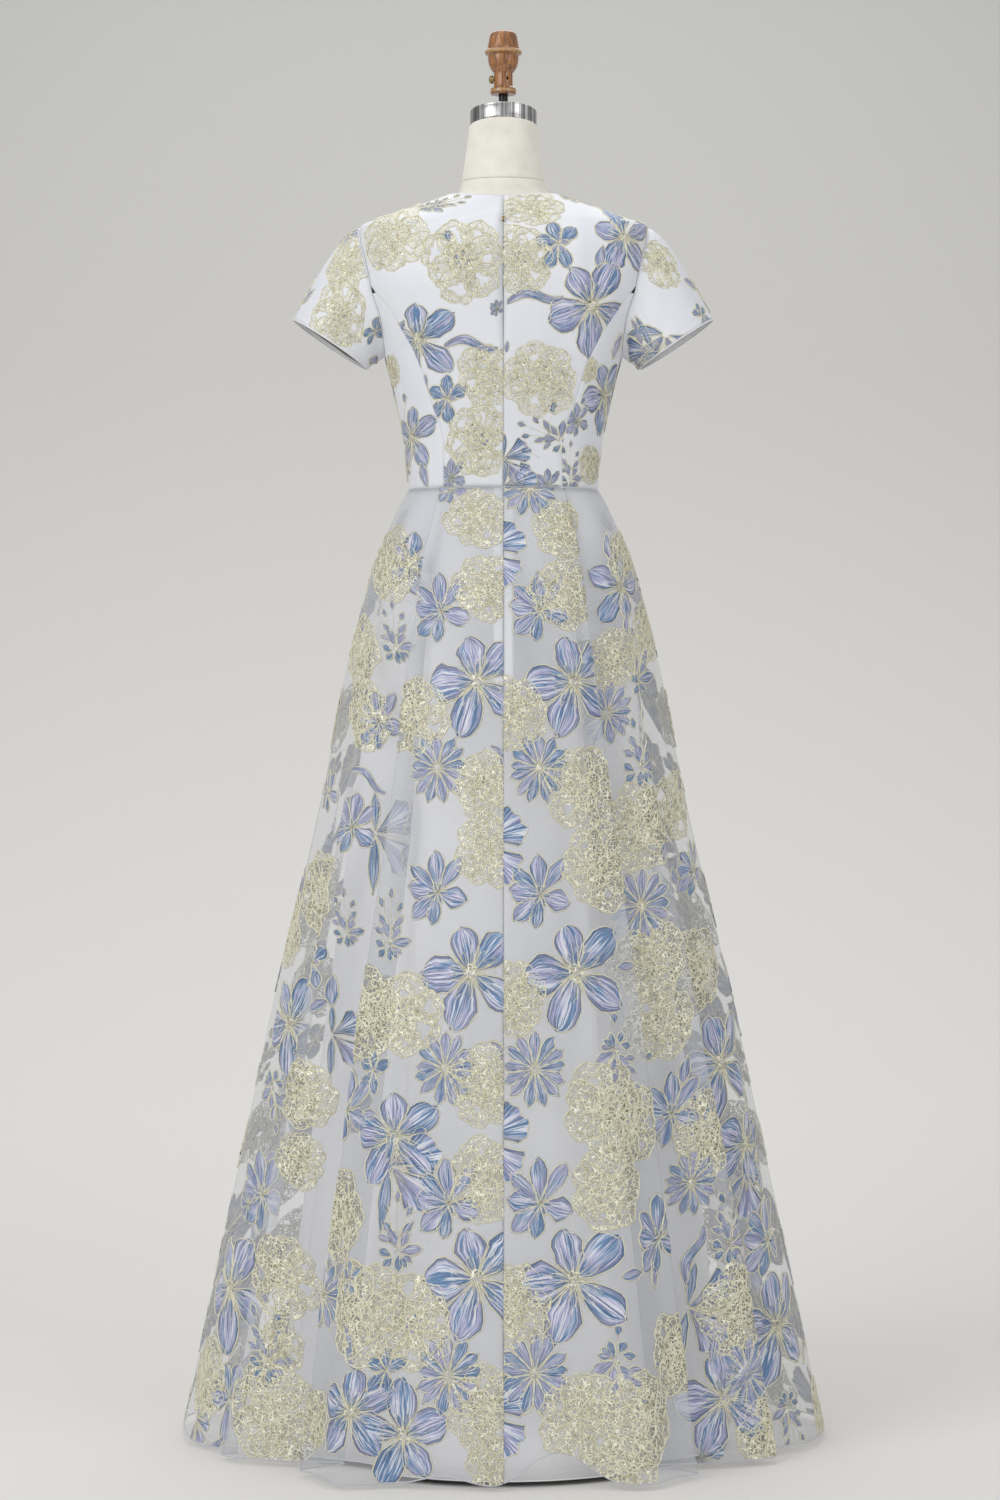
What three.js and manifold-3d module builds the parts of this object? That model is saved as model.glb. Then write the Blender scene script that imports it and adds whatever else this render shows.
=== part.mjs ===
// A floor-length dress on a limbless dress form. The form stands on a pole and a round foot.
// Millimetres, +Z up. The floor is z = 0 and the pole is the Z axis. The back of the dress,
// with its zip, faces -Y, its front +Y, and the wearer's right hand side lies at +X.
// Angles round the body are in degrees from the centre back: 90 is the +X side seam.

import * as THREE from 'three';
import { mergeVertices } from 'three/addons/utils/BufferGeometryUtils.js';
import Module from 'manifold-3d';

const wasm = await Module();
wasm.setup();

// Heights of the seams and edges
const WAIST = 1141;
const UNDERARM = 1305;
const YOKE = 1386;
const PANEL_TIP = 1376;
const SHOULDER_TIP = 1462;
const NECK_POINT = 1504;
const HEM = 6;

// Cloth walls, and the gap that parts neighbouring pieces
const BODICE_WALL = 2.0;
const SLEEVE_WALL = 1.5;
const SKIRT_WALL = 1.2;
const LINING_WALL = 1.0;
const SEAM_GAP = 0.3;

// Outer face of the bodice: half width, depth behind and before the side seams, and the power of
// the superellipse that the section follows, 2 for an ellipse
const BODY = [
  { z: 1141, half: 115, back: 81, front: 95, power: 2.3 },
  { z: 1167, half: 117, back: 83, front: 101, power: 2.3 },
  { z: 1204, half: 121, back: 86, front: 114, power: 2.35 },
  { z: 1241, half: 128, back: 90, front: 128, power: 2.4 },
  { z: 1277, half: 136.5, back: 93, front: 136, power: 2.5 },
  { z: 1305, half: 144, back: 95, front: 133, power: 2.6 },
  { z: 1340, half: 155, back: 97, front: 119, power: 2.8 },
  { z: 1386, half: 170, back: 98, front: 104, power: 3.0 },
  { z: 1420, half: 174, back: 95, front: 93, power: 2.9 },
  { z: 1445, half: 176, back: 88, front: 84, power: 2.7 },
  { z: 1462, half: 175, back: 79, front: 76, power: 2.5 },
  { z: 1475, half: 141, back: 71, front: 68, power: 2.3 },
  { z: 1486, half: 111, back: 63, front: 62, power: 2.2 },
  { z: 1495, half: 86, back: 57, front: 57, power: 2.1 },
  { z: 1504, half: 62, back: 51, front: 53, power: 2.0 },
];

// Armhole: the angle of its back and front edge at each height
const ARMHOLE = [
  { z: 1305, back: 90, front: 90 },
  { z: 1311, back: 82, front: 98 },
  { z: 1322, back: 75, front: 105 },
  { z: 1339, back: 69, front: 110 },
  { z: 1357, back: 66, front: 113 },
  { z: 1386, back: 66, front: 114 },
  { z: 1415, back: 70, front: 111 },
  { z: 1443, back: 78, front: 103 },
  { z: 1455, back: 84, front: 97 },
  { z: 1462, back: 90, front: 90 },
];

// Princess seam of the back: its distance from the centre back seam
const PRINCESS = [
  { z: 1141, x: 71 },
  { z: 1193, x: 71.5 },
  { z: 1244, x: 86 },
  { z: 1298, x: 104 },
  { z: 1316, x: 113 },
  { z: 1336, x: 125 },
  { z: 1357, x: 139 },
  { z: 1376, x: 153 },
];

// Neckline: its height at each angle from the centre back, and from the centre front
const NECK_BACK = [
  { angle: 0, z: 1494 },
  { angle: 45, z: 1499 },
  { angle: 90, z: 1504 },
];
const NECK_FRONT = [
  { angle: 0, z: 1431 },
  { angle: 5, z: 1435 },
  { angle: 10, z: 1447 },
  { angle: 15, z: 1464 },
  { angle: 21, z: 1477 },
  { angle: 30, z: 1487 },
  { angle: 46, z: 1496 },
  { angle: 65, z: 1501 },
  { angle: 90, z: 1504 },
];

// Heights of the bodice's rows at its side seams, armholes and shoulder seams
const BODICE_LEVELS = [
  1141, 1167, 1204, 1241, 1277, 1305, 1311, 1322, 1339, 1357, 1376, 1386,
  1405, 1425, 1443, 1455, 1462, 1475, 1486, 1495, 1504,
];

// Sleeve: the middle of the cuff, the arms of its ellipse to the outer top and to the front,
// and how far the sleeve head bulges
const CUFF_CENTRE = new THREE.Vector3(211, 0, 1320);
const CUFF_UP = new THREE.Vector3(45, 0, 30);
const CUFF_FRONT = new THREE.Vector3(0, 57, 0);
const HEAD_BULGE = 9;
const HEAD_OUT = new THREE.Vector3(0.8, 0, 0.6);
const SLEEVE_ROWS = 6;

// How far the front's columns crowd toward the centre front, where the neckline is deepest
const NECK_CROWDING = 1.35;

// Outer organza skirt at its flutes
const SKIRT = [
  { z: 6, half: 389, back: 394, front: 390, power: 2.0 },
  { z: 70, half: 375, back: 380, front: 377, power: 2.0 },
  { z: 180, half: 352, back: 355, front: 354, power: 2.0 },
  { z: 289, half: 329, back: 331, front: 330, power: 2.0 },
  { z: 399, half: 305.5, back: 308, front: 307, power: 2.0 },
  { z: 509, half: 283, back: 284, front: 283, power: 2.0 },
  { z: 619, half: 257, back: 258, front: 257, power: 2.0 },
  { z: 728, half: 231, back: 230, front: 230, power: 2.0 },
  { z: 838, half: 208, back: 204, front: 205, power: 2.0 },
  { z: 911, half: 194.5, back: 187, front: 189, power: 2.0 },
  { z: 984, half: 176, back: 165, front: 168, power: 2.0 },
  { z: 1058, half: 155.5, back: 134, front: 141, power: 2.1 },
  { z: 1094, half: 140, back: 114, front: 124, power: 2.15 },
  { z: 1131, half: 122.5, back: 90, front: 104, power: 2.25 },
  { z: 1141, half: 116, back: 82, front: 96, power: 2.3 },
];

// Lining skirt
const LINING = [
  { z: 6, half: 280, back: 368, front: 350, power: 2.0 },
  { z: 100, half: 266, back: 345, front: 330, power: 2.0 },
  { z: 300, half: 242, back: 295, front: 285, power: 2.0 },
  { z: 500, half: 217, back: 240, front: 235, power: 2.0 },
  { z: 700, half: 190, back: 188, front: 190, power: 2.0 },
  { z: 870, half: 167, back: 156, front: 159, power: 2.1 },
  { z: 960, half: 156, back: 139, front: 144, power: 2.2 },
  { z: 1030, half: 143, back: 120, front: 129, power: 2.25 },
  { z: 1094, half: 123, back: 95, front: 107, power: 2.3 },
  { z: 1125, half: 113.5, back: 80, front: 94, power: 2.3 },
  { z: 1141, half: 112.9, back: 75.5, front: 92.9, power: 2.3 },
];

// Depth of a full pleat and how far its valley leans, as a share of its full lean
const PLEAT = [
  { z: 6, depth: 66, lean: 1 },
  { z: 500, depth: 50, lean: 1 },
  { z: 700, depth: 40, lean: 1 },
  { z: 870, depth: 28, lean: 1 },
  { z: 960, depth: 20, lean: 1 },
  { z: 1030, depth: 15, lean: 1 },
  { z: 1094, depth: 11, lean: 1 },
  { z: 1131, depth: 5.5, lean: 0.9 },
  { z: 1141, depth: 1.5, lean: 0.45 },
];

// Folds: middle, half width in degrees, share of a full pleat's depth (below 0 it stands out),
// lean in half widths toward the centre back or front, and the height where it starts
const SKIRT_FOLDS = [
  { angle: -46, width: 10, share: 1.0, lean: 1.1, start: 2000 },
  { angle: 44, width: 10, share: 1.0, lean: 1.1, start: 2000 },
  { angle: -65, width: 8, share: 0.35, lean: 0.8, start: 1130 },
  { angle: 62, width: 8, share: 0.6, lean: 0.9, start: 1130 },
  { angle: -26, width: 9, share: -0.5, lean: 0, start: 620 },
  { angle: 23, width: 9, share: -0.4, lean: 0, start: 620 },
  { angle: -103, width: 11, share: 0.45, lean: 0.6, start: 1000 },
  { angle: 104, width: 11, share: 0.5, lean: 0.6, start: 1000 },
  { angle: -134, width: 10, share: 1.0, lean: 1.1, start: 2000 },
  { angle: 135, width: 10, share: 1.0, lean: 1.1, start: 2000 },
  { angle: -157, width: 9, share: -0.4, lean: 0, start: 620 },
  { angle: 155, width: 9, share: -0.45, lean: 0, start: 620 },
];
const LINING_FOLDS = [
  { angle: -42, width: 15, share: 0.5, lean: 0.3, start: 950 },
  { angle: 42, width: 15, share: 0.5, lean: 0.3, start: 950 },
  { angle: -80, width: 14, share: 0.3, lean: 0, start: 700 },
  { angle: 84, width: 14, share: 0.3, lean: 0, start: 700 },
  { angle: -138, width: 15, share: 0.5, lean: 0.3, start: 950 },
  { angle: 138, width: 15, share: 0.5, lean: 0.3, start: 950 },
];
const FOLD_GROWTH = 450;
const SHARP_STEPS = [-1, -0.8, -0.5, -0.2, 0.15, 0.55, 1];
const SOFT_STEPS = [-1, -0.5, 0, 0.5, 1];
const SHARP_LEAN = 0.8;
const ROW_SPREAD = 1.5;
const SKIRT_ROWS = 14;
const LINING_ROWS = 9;

// The organza hem arches up over the lining at the back
const HEM_ARCHES = [
  { angle: 9, width: 11, rise: 34 },
  { angle: -10, width: 8, rise: 9 },
];

// Zip in the centre back seam: a tape behind the panels and a slider on the seam's top
const ZIP_HALF_WIDTH = 12;
const ZIP_TAPE = 1.0;
const ZIP_CLEARANCE = 0.9;
const ZIP_TOP_LEVEL = 1475;
const ZIP_BOTTOM = 890;
const ZIP_BELOW_WAIST = 1138;
const SLIDER_LEVEL = 1462;
const SLIDER_WIDTH = 4;
const SLIDER_HEIGHT = 7;
const SLIDER_DEPTH = 2;

// Dress form: its clearance inside the bodice, least on the shoulders that carry the dress, then
// its sections below the waist and at the neck
const FORM_CLEARANCE = 2.8;
const SHOULDER_CLEARANCE = 0.7;
const FORM_BELOW = [
  { z: 870, half: 148, back: 131, front: 134, power: 2.1 },
  { z: 930, half: 149, back: 132, front: 136, power: 2.1 },
  { z: 990, half: 143, back: 122, front: 129, power: 2.2 },
  { z: 1050, half: 130, back: 104, front: 113, power: 2.25 },
  { z: 1100, half: 115, back: 83, front: 95, power: 2.3 },
  { z: 1141, half: 107, back: 72, front: 85, power: 2.3 },
];
const NECK_SEAM = 1518;
const NECK_TOP = 1586;
const NECK_TILT_START = 1533;
const NECK_HEIGHTS = [NECK_SEAM + SEAM_GAP, 1533, 1549, 1564, NECK_TOP];
const NECK = [
  { z: 1501, half: 57, back: 47, front: 49, forward: 0 },
  { z: 1509, half: 52.5, back: 46, front: 46.5, forward: 1 },
  { z: 1518, half: 50.6, back: 45, front: 44.5, forward: 2 },
  { z: 1533, half: 48.5, back: 44.5, front: 43.5, forward: 3.5 },
  { z: 1564, half: 44.4, back: 43, front: 42.5, forward: 6.5 },
  { z: 1586, half: 42, back: 42, front: 42, forward: 8 },
];
const FORM_STEPS = 28;
const SHOULDER_RIDGE = 30;

// Steel band round the top of the neck, and the turned finial with its screw
const BAND_HEIGHT = 19;
const BAND_HALF = 41;
const BAND_CHAMFER = 1.2;
const BAND_TILT = Math.tan(THREE.MathUtils.degToRad(9));
const STEM_RADIUS = 5.65;
const STEM_TOP = 1649;
const FINIAL_FORWARD = 8;
const FINIAL_FOOT = 1626.6;
const FINIAL_NECK_RADIUS = 11.5;
const FINIAL = [
  { radius: 15.2, z: FINIAL_FOOT },
  { radius: 15.7, z: 1629 },
  { radius: 15.7, z: 1632.5 },
  { radius: 14.8, z: 1634.5 },
  { radius: 11.9, z: 1636.5 },
  { radius: FINIAL_NECK_RADIUS, z: 1639 },
  { radius: FINIAL_NECK_RADIUS, z: 1652.5 },
  { radius: 13.9, z: 1655.5 },
  { radius: 16.8, z: 1660.5 },
  { radius: 18.4, z: 1666.5 },
  { radius: 18.7, z: 1674 },
  { radius: 22.2, z: 1676 },
  { radius: 22.7, z: 1678 },
  { radius: 19.8, z: 1681 },
  { radius: 17.6, z: 1692 },
  { radius: 16.2, z: 1699 },
  { radius: 12, z: 1703.6 },
];
const FINIAL_TOP = 1704;
const FINIAL_BORE_TOP = 1650;
const BORE_CLEARANCE = 0.35;
const SCREW_HEIGHT = 1645;
const SCREW_SHANK = 2.0;
const SCREW_HEAD = 5.0;
const SCREW_HEAD_LENGTH = 5.5;
const SCREW_HEAD_GAP = 0.5;
const HOLE_REACH = 20;
const PIN_HOLE_RADIUS = 1.85;
const PIN_HOLE_ANGLE = 29;
const ROUND_STEPS = 20;
const SMALL_STEPS = 16;

// Pole and foot
const FOOT_RADIUS = 180;
const FOOT_HEIGHT = 12;
const FOOT_EDGE = 4;
const POLE_RADIUS = 12.5;

const CANVAS = { color: 0xe9e5d9, roughness: 0.9 };
const ORGANZA = { color: 0xcfd0d4, roughness: 0.5 };
const WHITE_LINING = { color: 0xf1f1f2, roughness: 0.5 };
const STEEL = { color: 0xb9babd, roughness: 0.3, metalness: 1 };
const BLACK_STEEL = { color: 0x18181a, roughness: 0.5, metalness: 0.6 };
const WOOD = { color: 0x8a5f3f, roughness: 0.45 };

// A smooth value from a table whose rows rise in their key. It never passes its neighbours.
function valueAt(table, column, at, key = 'z') {
  const last = table.length - 1;
  if (at <= table[0][key]) return table[0][column];
  if (at >= table[last][key]) return table[last][column];
  let row = 0;
  while (table[row + 1][key] < at) row += 1;
  const slope = (i) => (table[i + 1][column] - table[i][column]) / (table[i + 1][key] - table[i][key]);
  const tangent = (i) => {
    if (i === 0) return slope(0);
    if (i === last) return slope(last - 1);
    const before = slope(i - 1);
    const after = slope(i);
    return before * after <= 0 ? 0 : (2 * before * after) / (before + after);
  };
  const span = table[row + 1][key] - table[row][key];
  const t = (at - table[row][key]) / span;
  const rise = t * t * (3 - 2 * t);
  return table[row][column] * (1 - rise) + table[row + 1][column] * rise
    + span * tangent(row) * t * (1 - t) * (1 - t) - span * tangent(row + 1) * t * t * (1 - t);
}

const rad = THREE.MathUtils.degToRad;
const signedPower = (value, power) => Math.sign(value) * Math.abs(value) ** power;

// A point of a table's section at an angle and a height
function sectionPoint(table, degrees, z, inset = 0) {
  const side = Math.sin(rad(degrees));
  const rear = Math.cos(rad(degrees));
  const power = 2 / valueAt(table, 'power', z);
  const depth = valueAt(table, rear >= 0 ? 'back' : 'front', z) - inset;
  const half = valueAt(table, 'half', z) - inset;
  return new THREE.Vector3(half * signedPower(side, power), -depth * signedPower(rear, power), z);
}

// The angle at which a section has the given x
function angleOfX(table, x, z) {
  const share = Math.min(1, x / valueAt(table, 'half', z));
  return THREE.MathUtils.radToDeg(Math.asin(share ** (valueAt(table, 'power', z) / 2)));
}

// A point of a skirt: its section, with the folds pressed in and leaned
function foldedPoint(table, folds, degrees, z) {
  let turned = degrees;
  let depth = 0;
  for (const fold of folds) {
    const t = (degrees - fold.angle) / fold.width;
    if (Math.abs(t) >= 1) continue;
    const bump = 0.5 * (1 + Math.cos(Math.PI * t));
    const grown = THREE.MathUtils.smoothstep(fold.start - z, 0, FOLD_GROWTH);
    const inward = Math.abs(fold.angle) < 90 ? -Math.sign(fold.angle) : Math.sign(fold.angle);
    depth += bump * grown * fold.share * valueAt(PLEAT, 'depth', z);
    turned += bump * grown * inward * fold.lean * fold.width * valueAt(PLEAT, 'lean', z);
  }
  const point = sectionPoint(table, turned, z);
  const radius = Math.hypot(point.x, point.y);
  point.x *= (radius - depth) / radius;
  point.y *= (radius - depth) / radius;
  return point;
}

// The height of the organza hem at an angle
function hemHeight(degrees) {
  let height = HEM;
  for (const arch of HEM_ARCHES) {
    const t = (degrees - arch.angle) / arch.width;
    if (Math.abs(t) < 1) height += arch.rise * 0.5 * (1 + Math.cos(Math.PI * t));
  }
  return height;
}

// The angles of a skirt panel's columns: even ones, and closer ones in each fold
function foldColumns(folds, from, to, spacing) {
  const count = Math.ceil((to - from) / spacing);
  const even = Array.from({ length: count + 1 }, (_, i) => from + ((to - from) * i) / count);
  const near = folds.flatMap((fold) => (
    (fold.lean >= SHARP_LEAN ? SHARP_STEPS : SOFT_STEPS).map((step) => fold.angle + step * fold.width)
  ));
  const inFold = (angle) => folds.some((fold) => Math.abs(angle - fold.angle) < fold.width);
  const inner = even.slice(1, -1).filter((angle) => !inFold(angle))
    .concat(near.filter((angle) => angle > from && angle < to))
    .sort((a, b) => a - b);
  const columns = [from];
  for (const angle of inner) {
    if (angle - columns[columns.length - 1] > 1.6 && to - angle > 1.6) columns.push(angle);
  }
  columns.push(to);
  return columns;
}

// The outward direction of a surface at an angle and a height
function normalOn(surface, angle, z) {
  const across = surface(angle + 0.5, z).sub(surface(angle - 0.5, z));
  const up = surface(angle, z + 1).sub(surface(angle, z - 1));
  return across.cross(up).normalize();
}

// A surface's point, moved in along the surface's own direction
function behind(surface, angle, z, distance) {
  return surface(angle, z).addScaledVector(normalOn(surface, angle, z), -distance);
}

// A closed wall between two grids, the outer face and the inner one. A closed grid's last column
// meets its first.
function wallGeometry(outerGrid, innerGrid, closed = false) {
  const rows = outerGrid.length;
  const width = outerGrid[0].length;
  const positions = [outerGrid, innerGrid].flat(2).flatMap((point) => point.toArray());
  const outer = (r, c) => r * width + (c % width);
  const inner = (r, c) => rows * width + outer(r, c);
  const indices = [];
  const face = (a, b, c, d) => indices.push(a, b, c, a, c, d);
  const spans = closed ? width : width - 1;
  for (let r = 0; r < rows - 1; r += 1) {
    for (let c = 0; c < spans; c += 1) {
      face(outer(r, c), outer(r, c + 1), outer(r + 1, c + 1), outer(r + 1, c));
      face(inner(r, c), inner(r + 1, c), inner(r + 1, c + 1), inner(r, c + 1));
    }
    if (!closed) {
      face(outer(r, 0), outer(r + 1, 0), inner(r + 1, 0), inner(r, 0));
      face(outer(r, width - 1), inner(r, width - 1), inner(r + 1, width - 1), outer(r + 1, width - 1));
    }
  }
  for (let c = 0; c < spans; c += 1) {
    face(outer(0, c), inner(0, c), inner(0, c + 1), outer(0, c + 1));
    face(outer(rows - 1, c), outer(rows - 1, c + 1), inner(rows - 1, c + 1), inner(rows - 1, c));
  }
  return indexedGeometry(positions, indices);
}

// A closed solid through rings of points, from the lowest ring to the highest
function ringGeometry(rings) {
  const width = rings[0].length;
  const positions = rings.flat().flatMap((point) => point.toArray());
  const indices = [];
  for (let r = 0; r < rings.length - 1; r += 1) {
    for (let c = 0; c < width; c += 1) {
      const here = r * width + c;
      const next = r * width + ((c + 1) % width);
      indices.push(here, next, next + width, here, next + width, here + width);
    }
  }
  const top = (rings.length - 1) * width;
  for (let c = 1; c < width - 1; c += 1) {
    indices.push(0, c + 1, c);
    indices.push(top, top + c, top + c + 1);
  }
  return indexedGeometry(positions, indices);
}

function indexedGeometry(positions, indices) {
  const geometry = new THREE.BufferGeometry();
  geometry.setAttribute('position', new THREE.Float32BufferAttribute(positions, 3));
  geometry.setIndex(indices);
  geometry.computeVertexNormals();
  return geometry;
}

// Moves a grid's borders inward by half the seam gap
function insetBorders(grid, half = SEAM_GAP / 2) {
  const moved = grid.map((row) => row.map((point) => point.clone()));
  const step = (from, to) => to.clone().sub(from).setLength(half);
  const last = grid.length - 1;
  const end = grid[0].length - 1;
  grid.forEach((row, r) => {
    moved[r][0].add(step(row[0], row[1]));
    moved[r][end].add(step(row[end], row[end - 1]));
  });
  for (let c = 0; c <= end; c += 1) {
    moved[0][c].add(step(grid[0][c], grid[1][c]));
    moved[last][c].add(step(grid[last][c], grid[last - 1][c]));
  }
  return moved;
}

// The same panel on the other side of the garment, with its faces still pointing out
function mirrored(panel) {
  return panel.map((row) => row.map(({ angle, z }) => ({ angle: -angle, z })).reverse());
}

function mirroredGrid(grid) {
  return grid.map((row) => row.map((p) => new THREE.Vector3(-p.x, p.y, p.z)).reverse());
}

// A height on the bodice, where the rows above the yoke spread to reach the neckline
function bodiceHeight(level, neckHeight) {
  if (level <= YOKE) return level;
  return YOKE + ((level - YOKE) * (neckHeight - YOKE)) / (NECK_POINT - YOKE);
}

function armholeAngle(side, level) {
  return level <= UNDERARM || level >= SHOULDER_TIP ? 90 : valueAt(ARMHOLE, side, level);
}

// The outer faces of the bodice and of the two skirts, by angle and height
const bodice = (angle, z) => sectionPoint(BODY, angle, z);
const skirt = (angle, z) => foldedPoint(SKIRT, SKIRT_FOLDS, angle, z);
const lining = (angle, z) => foldedPoint(LINING, LINING_FOLDS, angle, z);

// A panel is rows of places, each an angle and a height on one of those faces.
// Right half of the back from the centre seam to the princess seam, armhole and shoulder
function backPanel(steps) {
  return BODICE_LEVELS.map((level) => {
    const edge = level <= PANEL_TIP
      ? angleOfX(BODY, valueAt(PRINCESS, 'x', level), level)
      : armholeAngle('back', level);
    return Array.from({ length: steps + 1 }, (_, i) => {
      const share = i / steps;
      const neck = valueAt(NECK_BACK, 'z', share * 90, 'angle');
      return { angle: share * edge, z: bodiceHeight(level, neck) };
    });
  });
}

// Right side of the back, from the princess seam to the side seam and the armhole's lower curve
function sideBackPanel(steps) {
  return BODICE_LEVELS.filter((level) => level <= PANEL_TIP).map((level) => {
    const from = angleOfX(BODY, valueAt(PRINCESS, 'x', level), level);
    const to = armholeAngle('back', level);
    return Array.from({ length: steps + 1 }, (_, i) => (
      { angle: from + ((to - from) * i) / steps, z: level }
    ));
  });
}

// The whole front, from the right side seam round to the left one
function frontPanel(steps) {
  return BODICE_LEVELS.map((level) => {
    const edge = armholeAngle('front', level);
    return Array.from({ length: 2 * steps + 1 }, (_, i) => {
      const share = signedPower((steps - i) / steps, NECK_CROWDING);
      const neck = valueAt(NECK_FRONT, 'z', 90 * Math.abs(share), 'angle');
      return { angle: 180 - share * (180 - edge), z: bodiceHeight(level, neck) };
    });
  });
}

// The right sleeve: a tube from the armhole, just off the bodice, to the cuff
function sleeve() {
  const levels = BODICE_LEVELS.filter((level) => level >= UNDERARM && level <= SHOULDER_TIP);
  const between = levels.slice(1, -1);
  const loop = [
    { level: SHOULDER_TIP, side: 'back' },
    ...between.map((level) => ({ level, side: 'back' })).reverse(),
    { level: UNDERARM, side: 'back' },
    ...between.map((level) => ({ level, side: 'front' })),
  ];
  const bottom = between.length + 1;
  const middle = (UNDERARM + SHOULDER_TIP) / 2;
  const edges = loop.map(({ level, side }) => {
    const angle = armholeAngle(side, level);
    const edge = bodice(angle, level);
    const inPanel = bodice(90 + (angle - 90) * 1.12, middle + (level - middle) * 1.12);
    return { edge, inPanel };
  });
  const count = edges.length;
  const starts = edges.map(({ edge, inPanel }, i) => {
    const along = edges[(i + 1) % count].edge.clone().sub(edges[(i + count - 1) % count].edge);
    const away = edge.clone().sub(inPanel).normalize();
    const out = along.cross(away).normalize();
    return edge.clone().addScaledVector(away, SEAM_GAP).addScaledVector(out, SEAM_GAP);
  });
  const lengths = [0];
  for (let i = 1; i <= count; i += 1) {
    lengths.push(lengths[i - 1] + starts[i % count].distanceTo(starts[i - 1]));
  }
  const turnOf = (i) => (i <= bottom
    ? (Math.PI * lengths[i]) / lengths[bottom]
    : Math.PI * (1 + (lengths[i] - lengths[bottom]) / (lengths[count] - lengths[bottom])));
  return Array.from({ length: SLEEVE_ROWS + 1 }, (_, row) => {
    const v = row / SLEEVE_ROWS;
    return starts.map((start, i) => {
      const turn = turnOf(i);
      const cuff = CUFF_CENTRE.clone()
        .addScaledVector(CUFF_UP, Math.cos(turn))
        .addScaledVector(CUFF_FRONT, -Math.sin(turn));
      const bulge = HEAD_BULGE * Math.sin(Math.PI * v ** 0.6) * (0.5 + 0.5 * Math.cos(turn));
      return start.clone().lerp(cuff, v).addScaledVector(HEAD_OUT, bulge);
    });
  });
}

// The heights of a skirt's rows at an angle whose hem is at the given height, from the hem up
function rowHeights(rows, hem) {
  return Array.from({ length: rows + 1 }, (_, row) => WAIST + (hem - WAIST) * (1 - row / rows) ** ROW_SPREAD);
}

// A panel of a skirt between two seams
function skirtPanel(folds, rows, hemOf, spacing, from, to) {
  const columns = foldColumns(folds, from, to, spacing)
    .map((angle) => ({ angle, heights: rowHeights(rows, hemOf(angle)) }));
  return Array.from({ length: rows + 1 }, (_, row) => (
    columns.map(({ angle, heights }) => ({ angle, z: heights[row] }))
  ));
}

const organzaPanel = (from, to) => skirtPanel(SKIRT_FOLDS, SKIRT_ROWS, hemHeight, 9, from, to);
const liningPanel = (from, to) => skirtPanel(LINING_FOLDS, LINING_ROWS, () => HEM, 12, from, to);

// The outer and inner grids of the zip's tape, which follows the inside of the centre back seam
function zipTape() {
  const skirtRows = rowHeights(SKIRT_ROWS, hemHeight(0)).filter((z) => z > ZIP_BOTTOM && z < ZIP_BELOW_WAIST);
  const bodiceRows = BODICE_LEVELS.filter((level) => level <= ZIP_TOP_LEVEL)
    .map((level) => bodiceHeight(level, NECK_BACK[0].z));
  const rows = [
    ...[...skirtRows, ZIP_BELOW_WAIST].map((z) => ({ z, table: SKIRT, surface: skirt, wall: SKIRT_WALL })),
    ...bodiceRows.map((z) => ({ z, table: BODY, surface: bodice, wall: BODICE_WALL })),
  ];
  const grid = (extra) => rows.map(({ z, table, surface, wall }) => {
    const edge = angleOfX(table, ZIP_HALF_WIDTH, z);
    return [-edge, 0, edge].map((angle) => behind(surface, angle, z, wall + ZIP_CLEARANCE + extra));
  });
  return [grid(0), grid(ZIP_TAPE)];
}

// The form's torso, inside the bodice and down to the hips, up to the seam round its neck
function formTorso() {
  const ring = (pointOf) => Array.from({ length: FORM_STEPS }, (_, i) => {
    const degrees = (360 * i) / FORM_STEPS;
    return pointOf(degrees > 180 ? degrees - 360 : degrees);
  });
  const below = FORM_BELOW.map(({ z }) => ring((angle) => sectionPoint(FORM_BELOW, angle, z)));
  const levels = BODICE_LEVELS.filter((level) => level > WAIST && level < NECK_POINT);
  const within = levels.map((level) => ring((angle) => {
    const onRidge = THREE.MathUtils.smoothstep(level, SHOULDER_TIP - 6, SHOULDER_TIP);
    const toShoulder = onRidge * Math.sin(rad(angle)) ** SHOULDER_RIDGE;
    const clearance = THREE.MathUtils.lerp(FORM_CLEARANCE, SHOULDER_CLEARANCE, toShoulder);
    const neck = valueAt(NECK_BACK, 'z', Math.min(Math.abs(angle), 180 - Math.abs(angle)), 'angle');
    return behind(bodice, angle, bodiceHeight(level, neck), BODICE_WALL + clearance);
  }));
  const neck = NECK.filter(({ z }) => z <= NECK_SEAM).map(({ z }) => neckRing(z, 0));
  return [...below, ...within, ...neck];
}

// A ring of the neck, whose plane may fall toward the front
function neckRing(z, fall) {
  return Array.from({ length: FORM_STEPS }, (_, i) => {
    const side = Math.sin((2 * Math.PI * i) / FORM_STEPS);
    const rear = Math.cos((2 * Math.PI * i) / FORM_STEPS);
    const depth = valueAt(NECK, rear >= 0 ? 'back' : 'front', z);
    const y = -depth * rear;
    const x = valueAt(NECK, 'half', z) * side;
    return new THREE.Vector3(x, y + valueAt(NECK, 'forward', z), z - y * fall);
  });
}

// The canvas neck, from just above its seam to the tilted plane under the band
function formNeck() {
  const tilted = (z) => Math.max(0, (z - NECK_TILT_START) / (NECK_TOP - NECK_TILT_START));
  return NECK_HEIGHTS.map((z) => neckRing(z, BAND_TILT * tilted(z)));
}

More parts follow.
